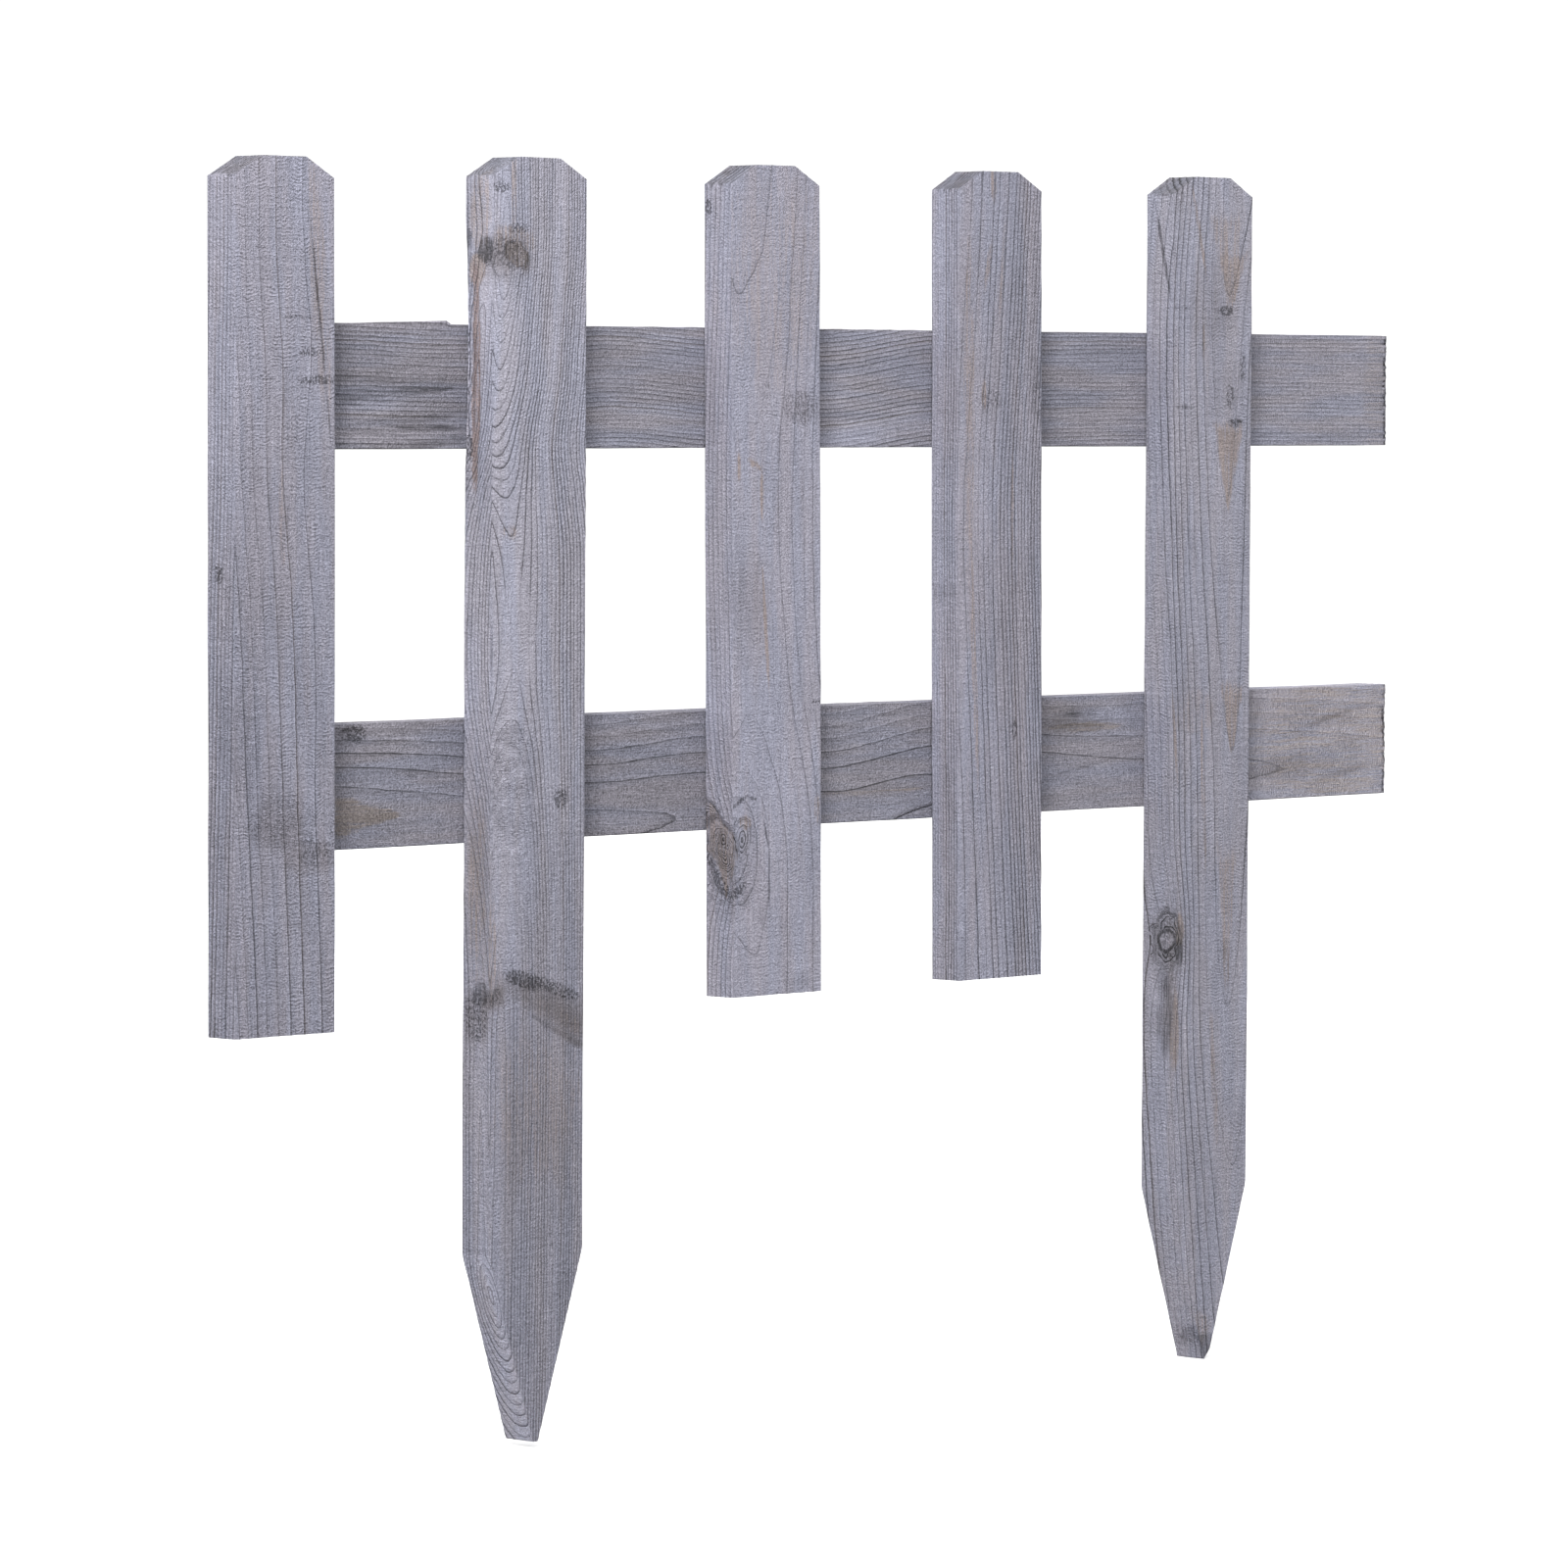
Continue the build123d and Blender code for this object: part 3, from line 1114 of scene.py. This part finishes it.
def cut_faces(board, levels, across, depth, shape):
    """Marks for the faces that the saw cut across the fibres: 1 on the dog ears and a share
    on the ends in the first, and 1 on the point's slopes in the second."""
    count = len(across)
    skin = shape[0] * shape[1]
    places = (across[:skin], np.zeros(skin), depth[:skin])
    uneven = cut_edge_stray * unevenness_at(board.wood, "cuts", places).reshape(shape)
    cut = np.full(count, end_face_cut)
    slope = np.zeros(count)
    ears = np.zeros(shape)
    slopes = np.zeros(shape)
    sides = np.zeros(shape[1], bool)
    sides[cells_across:cells_across + cells_deep + 1] = True
    sides[2 * cells_across + cells_deep:] = True
    sides[0] = True
    if not board.rail:
        ear_start = board.end - ear_drop
        heights = levels[:, None] + uneven
        ears = smooth_step(heights, ear_start - ear_edge_half, ear_start + ear_edge_half)
        ears = ears * sides
    if board.pointed:
        shoulder = board.start + point_length
        below = 1 - smooth_step(levels, shoulder - slope_edge_below, shoulder + slope_edge_above)
        slopes = below[:, None] * sides
    cut[:skin] = ears.ravel()
    slope[:skin] = slopes.ravel()
    return cut, slope


def arris_mark(shape, count):
    """1 along the rounded arrises, which the material draws a little paler."""
    mark = np.zeros(count)
    grid = np.zeros(shape)
    corners = (0, cells_across, cells_across + cells_deep, 2 * cells_across + cells_deep)
    for corner in corners:
        for step, amount in ((-1, 0.5), (0, 1.0), (1, 0.5)):
            grid[:, (corner + step) % shape[1]] = amount
    mark[:shape[0] * shape[1]] = grid.ravel()
    return mark


def to_frame(board, across, along, depth):
    """A board's own coordinates to metres in the frame."""
    if board.rail:
        middle = (board.low.z + board.high.z) / 2
        return np.column_stack((along, board.low.y + depth, middle + across)) * MM
    lean = math.radians(board.lean)
    rise = along - lean_pivot_height
    x = board.place * picket_pitch + across * math.cos(lean) + rise * math.sin(lean)
    z = lean_pivot_height + rise * math.cos(lean) - across * math.sin(lean)
    return np.column_stack((x, depth, z)) * MM


def cap_grid(rim):
    """Numbers of the points of an end face on the section's grid; -1 where the point is
    new. The rim is the last row of the board's skin."""
    grid = np.full((cells_across + 1, cells_deep + 1), -1)
    front_count = cells_across + 1
    side_count = cells_deep - 1
    grid[:, 0] = rim[:front_count]
    grid[-1, 1:-1] = rim[front_count:front_count + side_count]
    back_start = front_count + side_count
    grid[::-1, -1] = rim[back_start:back_start + front_count]
    grid[0, -2:0:-1] = rim[back_start + front_count:]
    return grid


def quads_of(grid):
    """The four corners of each cell of a grid of point numbers."""
    corners = (grid[:-1, :-1], grid[1:, :-1], grid[1:, 1:], grid[:-1, 1:])
    return np.stack(corners, axis=-1).reshape(-1, 4)


def close_ends(across, along, depth, around):
    """Adds the end faces to a board's skin of rows. Returns every point's distances across,
    along, in depth and around, its direction into the wood, and the quads."""
    rows, count = across.shape
    skin = np.arange(rows * count).reshape(rows, count)
    inward = np.tile(inward_directions(), (rows, 1))
    skin_push = np.column_stack((inward[:, 0], np.zeros(rows * count), inward[:, 1]))
    places = [np.stack([values.ravel() for values in (across, along, depth, around)])]
    pushes = [skin_push]
    faces = [quads_of(np.concatenate((skin, skin[:, :1]), axis=1))]
    next_point = rows * count
    for row, direction in ((0, 1.0), (rows - 1, -1.0)):
        grid = cap_grid(skin[row])
        inner = grid < 0
        inner_count = inner.sum()
        grid[inner] = next_point + np.arange(inner_count)
        next_point += inner_count
        step_across, step_deep = np.nonzero(inner)
        front_across = across[row, :cells_across + 1]
        side_depth = np.concatenate(([0], depth[row, cells_across + 1:cells_across + cells_deep]))
        cap_across = front_across[step_across]
        cap_along = np.full(inner_count, along[row, 0])
        places.append(np.stack((cap_across, cap_along, side_depth[step_deep], cap_across)))
        skin_push[skin[row], 1] = direction
        pushes.append(np.tile((0.0, direction, 0.0), (inner_count, 1)))
        cap = quads_of(grid)
        faces.append(cap if direction > 0 else cap[:, ::-1])
    return np.concatenate(places, axis=1), np.concatenate(pushes), np.concatenate(faces)


def board_mesh(board):
    """One board as a closed mesh of rows round its section and two end faces."""
    levels = row_levels(board)
    left, right = outline(board, levels)
    skin_across, skin_depth = perimeter_points(left, right, board_thickness)
    skin_around = surface_around(skin_across, skin_depth, board.width, board_thickness)
    shape = skin_across.shape
    skin_along = np.repeat(levels[:, None], shape[1], axis=1)
    places, push, quads = close_ends(skin_across, skin_along, skin_depth, skin_around)
    across, along, depth, around = places

    fields = surface_fields(board, across, along, depth, around)
    fields["pace"] = ring_pace(board, fields["ring"], across, along, depth, shape)
    fields["cut"], slope = cut_faces(board, levels, across, depth, shape)
    fields["pale"] = np.maximum(fields["pale"], slope * board.wood.slope_pallor)
    cut_across = np.maximum(fields["cut"], slope)
    fields["lines"] = np.maximum(fields["lines"], cut_lines * cut_across)
    fields["edge"] = arris_mark(shape, len(across))
    fields["place"] = np.column_stack((across, along, depth)) + wood_offset(board.wood)

    sink = surface_sink(board, across, along, depth, fields)
    moved_across = across + push[:, 0] * sink
    moved_along = along + push[:, 1] * (end_share * sink + surface_allowance)
    moved_depth = depth + push[:, 2] * sink
    if board.waned:
        shift = wane_shift(along, depth)
        moved_across = moved_across + shift * (0.5 - across / picket_width)
    if board.splintered:
        moved_across = moved_across + splinter_rise(across, along, depth, board.width)
    points = to_frame(board, moved_across, moved_along, moved_depth)
    return points, facing_out(points, quads), fields


def facing_out(points, quads):
    """The quads of a closed mesh, turned over where they enclose a negative volume."""
    first, second, third, fourth = (points[quads[:, corner]] for corner in range(4))
    volume = np.einsum("ij,ij->", first, np.cross(second, third) + np.cross(third, fourth))
    return quads[:, ::-1] if volume < 0 else quads


def wood_offset(wood):
    """Moves one board's fine grain away from the other boards' grain."""
    return np.array([wood.seed * 17.0, wood.seed * 29.0, wood.seed * 13.0])


def make_object(name, points, quads, fields):
    """A smooth-shaded object that carries the fields as mesh attributes."""
    mesh = bpy.data.meshes.new(name)
    mesh.vertices.add(len(points))
    mesh.vertices.foreach_set("co", points.astype(np.float32).ravel())
    mesh.loops.add(quads.size)
    mesh.loops.foreach_set("vertex_index", quads.astype(np.int32).ravel())
    mesh.polygons.add(len(quads))
    mesh.polygons.foreach_set("loop_start", np.arange(0, quads.size, 4, dtype=np.int32))
    mesh.update(calc_edges=True)
    mesh.validate()
    mesh.polygons.foreach_set("use_smooth", np.ones(len(mesh.polygons), bool))
    for key, values in fields.items():
        kind = "FLOAT_VECTOR" if values.ndim == 2 else "FLOAT"
        attribute = mesh.attributes.new(key, kind, "POINT")
        target = "vector" if values.ndim == 2 else "value"
        attribute.data.foreach_set(target, values.astype(np.float32).ravel())
    piece = bpy.data.objects.new(name, mesh)
    bpy.context.scene.collection.objects.link(piece)
    return piece


# Materials


class Shader:
    """A material under construction: adds nodes and joins them."""

    def __init__(self, name):
        self.material = bpy.data.materials.new(name)
        self.material.use_nodes = True
        self.tree = self.material.node_tree
        self.surface = self.tree.nodes["Principled BSDF"]

    def feed(self, socket, value):
        """Joins a socket to an output, or sets it to a number."""
        if isinstance(value, bpy.types.NodeSocket):
            self.tree.links.new(value, socket)
        else:
            socket.default_value = value

    def attribute(self, name, part="Fac"):
        """Reads one of the mesh's fields."""
        node = self.tree.nodes.new("ShaderNodeAttribute")
        node.attribute_name = name
        return node.outputs[part]

    def math(self, operation, first, second=0.0):
        node = self.tree.nodes.new("ShaderNodeMath")
        node.operation = operation
        self.feed(node.inputs[0], first)
        self.feed(node.inputs[1], second)
        return node.outputs[0]

    def plus(self, first, second):
        return self.math("ADD", first, second)

    def minus(self, first, second):
        return self.math("SUBTRACT", first, second)

    def times(self, first, second):
        return self.math("MULTIPLY", first, second)

    def wave(self, turns):
        """A sine wave, once up and down for each whole turn."""
        return self.math("SINE", self.times(turns, 2 * math.pi))

    def span(self, value, start, end, low=0.0, high=1.0):
        """Maps value from start..end to low..high on an S curve, kept inside."""
        node = self.tree.nodes.new("ShaderNodeMapRange")
        node.interpolation_type = "SMOOTHSTEP"
        for socket, amount in zip(node.inputs, (value, start, end, low, high)):
            self.feed(socket, amount)
        return node.outputs[0]

    def stretch(self, vector, scales):
        """The vector with each of its parts scaled."""
        node = self.tree.nodes.new("ShaderNodeVectorMath")
        node.operation = "MULTIPLY"
        self.feed(node.inputs[0], vector)
        node.inputs[1].default_value = scales
        return node.outputs[0]

    def noise(self, vector, scales, detail, roughness=0.5, distortion=0.0):
        """Smooth noise from 0 to 1."""
        node = self.tree.nodes.new("ShaderNodeTexNoise")
        self.feed(node.inputs["Vector"], self.stretch(vector, scales))
        node.inputs["Scale"].default_value = 1.0
        node.inputs["Detail"].default_value = detail
        node.inputs["Roughness"].default_value = roughness
        node.inputs["Distortion"].default_value = distortion
        return node.outputs["Fac"]

    def grains(self, vector, scales):
        """Small irregular grains: dark in their middles and light between them, from about
        -0.5 to 0.5."""
        node = self.tree.nodes.new("ShaderNodeTexVoronoi")
        self.feed(node.inputs["Vector"], self.stretch(vector, scales))
        node.inputs["Scale"].default_value = 1.0
        return self.minus(node.outputs["Distance"], 0.5)

    def random(self, value, start):
        """One random number for each whole value."""
        node = self.tree.nodes.new("ShaderNodeTexWhiteNoise")
        node.noise_dimensions = "1D"
        self.feed(node.inputs["W"], self.plus(value, start))
        return node.outputs["Value"]

    def weighted(self, total, parts, shares):
        """The total plus each named part times its share."""
        for name, share in shares.items():
            total = self.plus(total, self.times(parts[name], share))
        return total

    def mix(self, share, first, second):
        """The first colour where the share is 0, the second where it is 1."""
        node = self.tree.nodes.new("ShaderNodeMix")
        node.data_type = "RGBA"
        self.feed(node.inputs["Factor"], share)
        self.feed(node.inputs["A"], first)
        self.feed(node.inputs["B"], second)
        return node.outputs["Result"]

    def brighten(self, colour, amount):
        """The colour times a number."""
        node = self.tree.nodes.new("ShaderNodeVectorMath")
        node.operation = "SCALE"
        self.feed(node.inputs[0], colour)
        self.feed(node.inputs["Scale"], amount)
        return node.outputs[0]

    def bump(self, height, distance):
        """Raises the surface, by distance in metres for each unit of height."""
        node = self.tree.nodes.new("ShaderNodeBump")
        node.inputs["Strength"].default_value = 1.0
        node.inputs["Distance"].default_value = distance
        self.feed(node.inputs["Height"], height)
        self.feed(self.surface.inputs["Normal"], node.outputs[0])


def late_wood(wood, marks, noise):
    """Late wood: a thin dark line at the end of each ring, of the same width in millimetres
    wherever the ring is cut, with a paler raised edge beyond it; that paleness is partly the
    wood's own and partly a painted highlight where the edge catches the light. Returns each
    ring's number, the share of it that is past, its random hue, the lines and the raised edges."""
    pace = marks["pace"]
    quiver = wood.times(wood.minus(noise["quiver"], 0.5), ring_quiver)
    ring = wood.plus(marks["ring"], wood.times(quiver, pace))
    number = wood.math("FLOOR", ring)
    part = wood.math("FRACT", ring)
    hue = wood.random(number, hue_draw)
    before = wood.math("DIVIDE", wood.minus(1.0, part), pace)
    after = wood.math("DIVIDE", part, pace)
    width = wood.math("MINIMUM", wood.math("DIVIDE", thin_line_reach, pace), thin_line_width)
    thin = wood.times(wood.span(before, 0.0, width, 1.0, 0.0), thin_line_share)
    broad = wood.times(wood.span(before, 0.0, broad_line_width, 1.0, 0.0), broad_line_share)
    strength = wood.plus(wood.random(number, strength_draw), noise["breaks"])
    strength = wood.span(strength, 0.35, 1.3, 0.2, 1.0)
    evened = wood.times(wood.minus(even_strength, strength), marks["even"])
    strength = wood.plus(strength, evened)
    line = wood.times(wood.times(wood.plus(thin, broad), strength), marks["lines"])
    # The raised edge's paleness is partly a painted highlight where the edge catches the light
    ridge = wood.times(wood.span(after, 0.0, ridge_width, 1.0, 0.0), hue)
    return number, part, hue, line, ridge


def saw_marks(wood, place, marks, noise, number, part):
    """Saw marks: rows of small bows between the rings, in patches, long strokes across the
    board, and scrapes on the faces cut across the fibres."""
    apart = wood.tree.nodes.new("ShaderNodeSeparateXYZ")
    wood.feed(apart.inputs[0], place)
    along = apart.outputs["Y"]
    middle_gap = wood.minus(part, 0.5)
    bow = wood.times(wood.times(middle_gap, middle_gap), bow_rows)
    shift = wood.plus(wood.times(noise["drift"], drift_rows), wood.random(number, row_draw))
    row = wood.wave(wood.plus(wood.plus(wood.times(along, 1 / saw_pitch), bow), shift))
    patches = wood.span(noise["patches"], 0.42, 0.62)
    row = wood.times(wood.times(row, patches), marks["ripple"])
    waver = wood.times(wood.minus(noise["quiver"], 0.5), stroke_quiver)
    stroke = wood.wave(wood.times(wood.plus(along, waver), 1 / saw_stroke))
    stroke = wood.times(stroke, wood.span(marks["ripple"], 0.0, 1.0, 0.4, 1.0))
    scrape = wood.times(wood.minus(noise["scrape"], 0.5), marks["cut"])
    return row, stroke, scrape


def speck_dots(wood, marks, noise):
    """Small dark dots, more of them where the specks are strong."""
    dots = wood.plus(noise["dots"], wood.times(marks["specks"], 0.12))
    return wood.times(wood.span(dots, 0.56, 0.64), wood.span(marks["specks"], 0.1, 0.7))


def ragged(wood, mark, torn, low, high):
    """A stain's soft mask broken up by the fibres."""
    covered = wood.span(wood.plus(wood.times(mark, 0.7), torn), low, high)
    return wood.times(covered, wood.span(mark, 0.0, 0.6))


def weathered_wood(name, cool, warm, brown):
    """Grey, lavender-tinted old softwood with dark latewood lines, raised fibres, saw
    ripples, knots and brown streaks."""
    wood = Shader(name)
    place = wood.attribute("place", "Vector")
    marks = {kind: wood.attribute(kind) for kind in painted_fields}
    noise = {kind: wood.noise(place, *settings) for kind, settings in wood_noises.items()}
    number, part, hue, line, ridge = late_wood(wood, marks, noise)
    row, stroke, scrape = saw_marks(wood, place, marks, noise, number, part)

    parts = {
        kind: wood.minus(noise[kind], 0.5)
        for kind in ("fibre", "streak", "grit", "cloud", "dash", "curls")
    }
    torn = wood.weighted(0.0, parts, tearing)
    parts["dash"] = wood.times(parts["dash"], marks["ripple"])
    parts["curls"] = wood.times(parts["curls"], marks["fuzz"])
    parts["grains"] = wood.grains(place, grain_scales)
    parts["dots"] = speck_dots(wood, marks, noise)
    parts["dark"] = ragged(wood, marks["dark"], torn, 0.1, 0.9)
    parts.update(row=row, stroke=stroke, scrape=scrape, line=line, ridge=ridge)
    parts.update({kind: marks[kind] for kind in ("pale", "edge", "cut", "shade")})

    tone = wood.weighted(marks["tone"], parts, lightening)
    for kind, share in darkening.items():
        tone = wood.times(tone, wood.minus(1.0, wood.times(parts[kind], share)))
    browned = wood.times(ragged(wood, marks["brown"], torn, -0.05, 0.75), brown_share)
    ring_brown = wood.times(line, wood.span(hue, 0.7, 0.95, 0.0, 0.4))
    shade_brown = wood.times(marks["shade"], shade_brown_share)
    browned = wood.math("MAXIMUM", wood.math("MAXIMUM", browned, ring_brown), shade_brown)
    colour = wood.mix(wood.span(noise["tint"], 0.35, 0.65), cool, warm)
    colour = wood.mix(browned, colour, brown)
    colour = wood.mix(ragged(wood, marks["bark"], torn, 0.3, 0.8), colour, bark_colour)
    wood.feed(wood.surface.inputs["Base Color"], wood.brighten(colour, tone))

    # Weathered wood is nearly matt; the knots a little less
    roughness = wood.span(marks["knot"], 0.0, 1.0, 0.85, 0.6)
    wood.feed(wood.surface.inputs["Roughness"], roughness)
    wood.surface.inputs["Specular IOR Level"].default_value = 0.25
    wood.bump(wood.weighted(0.0, parts, standing_out), bump_height)
    return wood.material


def nail_material():
    """Dull zinc with darker, browner blotches where it has weathered."""
    zinc = Shader("nail_zinc")
    where = zinc.tree.nodes.new("ShaderNodeTexCoord").outputs["Object"]
    blotches = zinc.noise(where, (600.0, 600.0, 600.0), 4.0, 0.7)
    share = zinc.span(blotches, 0.42, 0.62)
    colour = zinc.mix(share, zinc_colour, zinc_blotch_colour)
    zinc.feed(zinc.surface.inputs["Base Color"], colour)
    zinc.feed(zinc.surface.inputs["Roughness"], zinc.span(share, 0.0, 1.0, 0.45, 0.75))
    zinc.feed(zinc.surface.inputs["Metallic"], zinc.span(share, 0.0, 1.0, 0.8, 0.1))
    zinc.bump(blotches, 0.0001)
    return zinc.material


def floor_material():
    """A plain pale studio floor with a faint paper grain."""
    paper = Shader("studio_floor")
    where = paper.tree.nodes.new("ShaderNodeTexCoord").outputs["Object"]
    grain = paper.noise(where, (40.0, 40.0, 40.0), 4.0)
    paper.feed(paper.surface.inputs["Base Color"], paper.mix(grain, *floor_colours))
    paper.surface.inputs["Roughness"].default_value = 0.9
    paper.bump(grain, 0.0002)
    return paper.material


# The pieces


def build_boards():
    """Makes every board and hides the CAD node that it stands for."""
    woods = {slot: weathered_wood(slot, *colours) for slot, colours in wood_colours.items()}
    for board in boards:
        piece = make_object("wood_" + board.node, *board_mesh(board))
        piece.data.materials.append(woods[board.slot])
        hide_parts(board.node)
        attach(piece, "root")


def nail_head(centre_x, centre_z, turn):
    """One domed head with hammer-rubbed middle, facing back, in metres: points and quads."""
    shares = np.linspace(0, 1, nail_rings)
    angles = turn + np.linspace(0, 2 * math.pi, nail_segments, endpoint=False)
    share, angle = np.meshgrid(shares, angles, indexing="ij")
    radius = nail_radius * np.maximum(share, 0.02)
    hammered = (share < 0.7) * (share > 0.15)
    ridges = hammer_mark_height * np.sign(np.sin(hammer_marks * angle)) * hammered
    sunk = nail_dome * share**2 + nail_edge_drop * (share > 0.95) + nail_clearance
    points = np.column_stack((
        (centre_x + radius * np.cos(angle)).ravel(),
        (rail_back - sunk + ridges).ravel(),
        (centre_z + radius * np.sin(angle)).ravel(),
    ))
    grid = np.arange(points.shape[0]).reshape(share.shape)
    grid = np.concatenate((grid, grid[:, :1]), axis=1)
    return points * MM, quads_of(grid)


def build_nails():
    """All nail heads as one piece."""
    twist = np.random.default_rng(5)
    points = []
    quads = []
    count = 0
    for rail in ("upper_rail", "lower_rail"):
        low, high = (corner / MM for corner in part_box(rail))
        middle = (low.z + high.z) / 2
        for place in range(-1, 4):
            left = max(rail_start, place * picket_pitch - picket_width / 2)
            right = min(rail_end, place * picket_pitch + picket_width / 2)
            for side in (-1, 1):
                centre_x = (left + right) / 2 + side * (right - left) * nail_side_share
                centre_x += twist.uniform(-nail_stray_across, nail_stray_across)
                centre_z = middle + side * nail_up_step
                centre_z += twist.uniform(-nail_stray_up, nail_stray_up)
                head, faces = nail_head(centre_x, centre_z, twist.uniform(0, 6))
                points.append(head)
                quads.append(faces + count)
                count += len(head)
    piece = make_object("nail_heads", np.concatenate(points), np.concatenate(quads), {})
    piece.data.materials.append(nail_material())
    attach(piece, "root")


def build_stage():
    """A wide floor at the level of the stakes' tips."""
    floor_level = min(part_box("left_stake")[0].z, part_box("right_stake")[0].z)
    line = np.linspace(-floor_reach, floor_reach, floor_cells + 1)
    x, y = np.meshgrid(line, line, indexing="ij")
    points = np.column_stack((x.ravel(), y.ravel(), np.full(x.size, floor_level)))
    grid = np.arange(x.size).reshape(x.shape)
    floor = make_object("studio_floor", points, quads_of(grid), {})
    floor.data.materials.append(floor_material())
    floor.visible_diffuse = False


def build_room():
    """A white room that is dim below the horizon."""
    world = bpy.data.worlds.new("studio")
    world.use_nodes = True
    tree = world.node_tree
    direction = tree.nodes.new("ShaderNodeTexCoord").outputs["Generated"]
    parts = tree.nodes.new("ShaderNodeSeparateXYZ")
    tree.links.new(direction, parts.inputs[0])
    height = tree.nodes.new("ShaderNodeMapRange")
    tree.links.new(parts.outputs["Z"], height.inputs["Value"])
    height.inputs["From Min"].default_value = room_horizon[0]
    height.inputs["From Max"].default_value = room_horizon[1]
    height.inputs["To Min"].default_value = dim_below
    height.inputs["To Max"].default_value = room_light
    background = tree.nodes["Background"]
    background.inputs["Color"].default_value = (1.0, 1.0, 1.0, 1.0)
    tree.links.new(height.outputs[0], background.inputs["Strength"])
    bpy.context.scene.world = world


def build_lamps():
    """A long lamp high in front that lights the tops most, a distant soft box on the left
    and a weaker one behind the panel."""
    middle = Vector(((rail_start + rail_end) / 2, 0, lamp_target_height)) * MM
    add_lamp("strip", strip_place, middle, strip_length, strip_height, strip_watts)
    for name, azimuth, elevation, watts in (
        ("soft_box", 55, 36, box_watts),
        ("back_box", 190, 28, back_watts),
    ):
        place = middle + box_offset(azimuth, elevation)
        add_lamp(name, place, middle, box_side, box_side, watts)


def box_offset(azimuth, elevation):
    """From the panel to a distant soft box: azimuth runs in degrees from the front over the
    left, elevation is the height in degrees."""
    turn = math.radians(azimuth)
    rise = math.radians(elevation)
    flat = box_distance * math.cos(rise)
    return Vector((
        -math.sin(turn) * flat, -math.cos(turn) * flat, box_distance * math.sin(rise),
    ))


def add_lamp(name, place, target, width, height, watts):
    """A rectangular lamp that faces a target."""
    lamp = bpy.data.lights.new(name, "AREA")
    lamp.shape = "RECTANGLE"
    lamp.size = width
    lamp.size_y = height
    lamp.energy = watts
    holder = bpy.data.objects.new(name, lamp)
    holder.location = place
    holder.rotation_euler = (target - place).to_track_quat("-Z", "Y").to_euler()
    bpy.context.scene.collection.objects.link(holder)


def build_camera():
    """The photograph's view: a long lens from the front left, just above the panel."""
    camera = bpy.data.cameras.new("camera")
    camera.sensor_width = sensor_width
    camera.lens = lens
    camera.clip_start = 0.1
    camera.clip_end = 200.0
    eye = bpy.data.objects.new("camera", camera)
    eye.location = camera_place
    eye.rotation_euler = (math.radians(90 - pitch_down), 0, -math.radians(turn_right))
    bpy.context.scene.collection.objects.link(eye)
    bpy.context.scene.camera = eye


build_boards()
build_nails()
build_stage()
build_room()
build_lamps()
build_camera()
bpy.context.scene.view_settings.view_transform = "Standard"
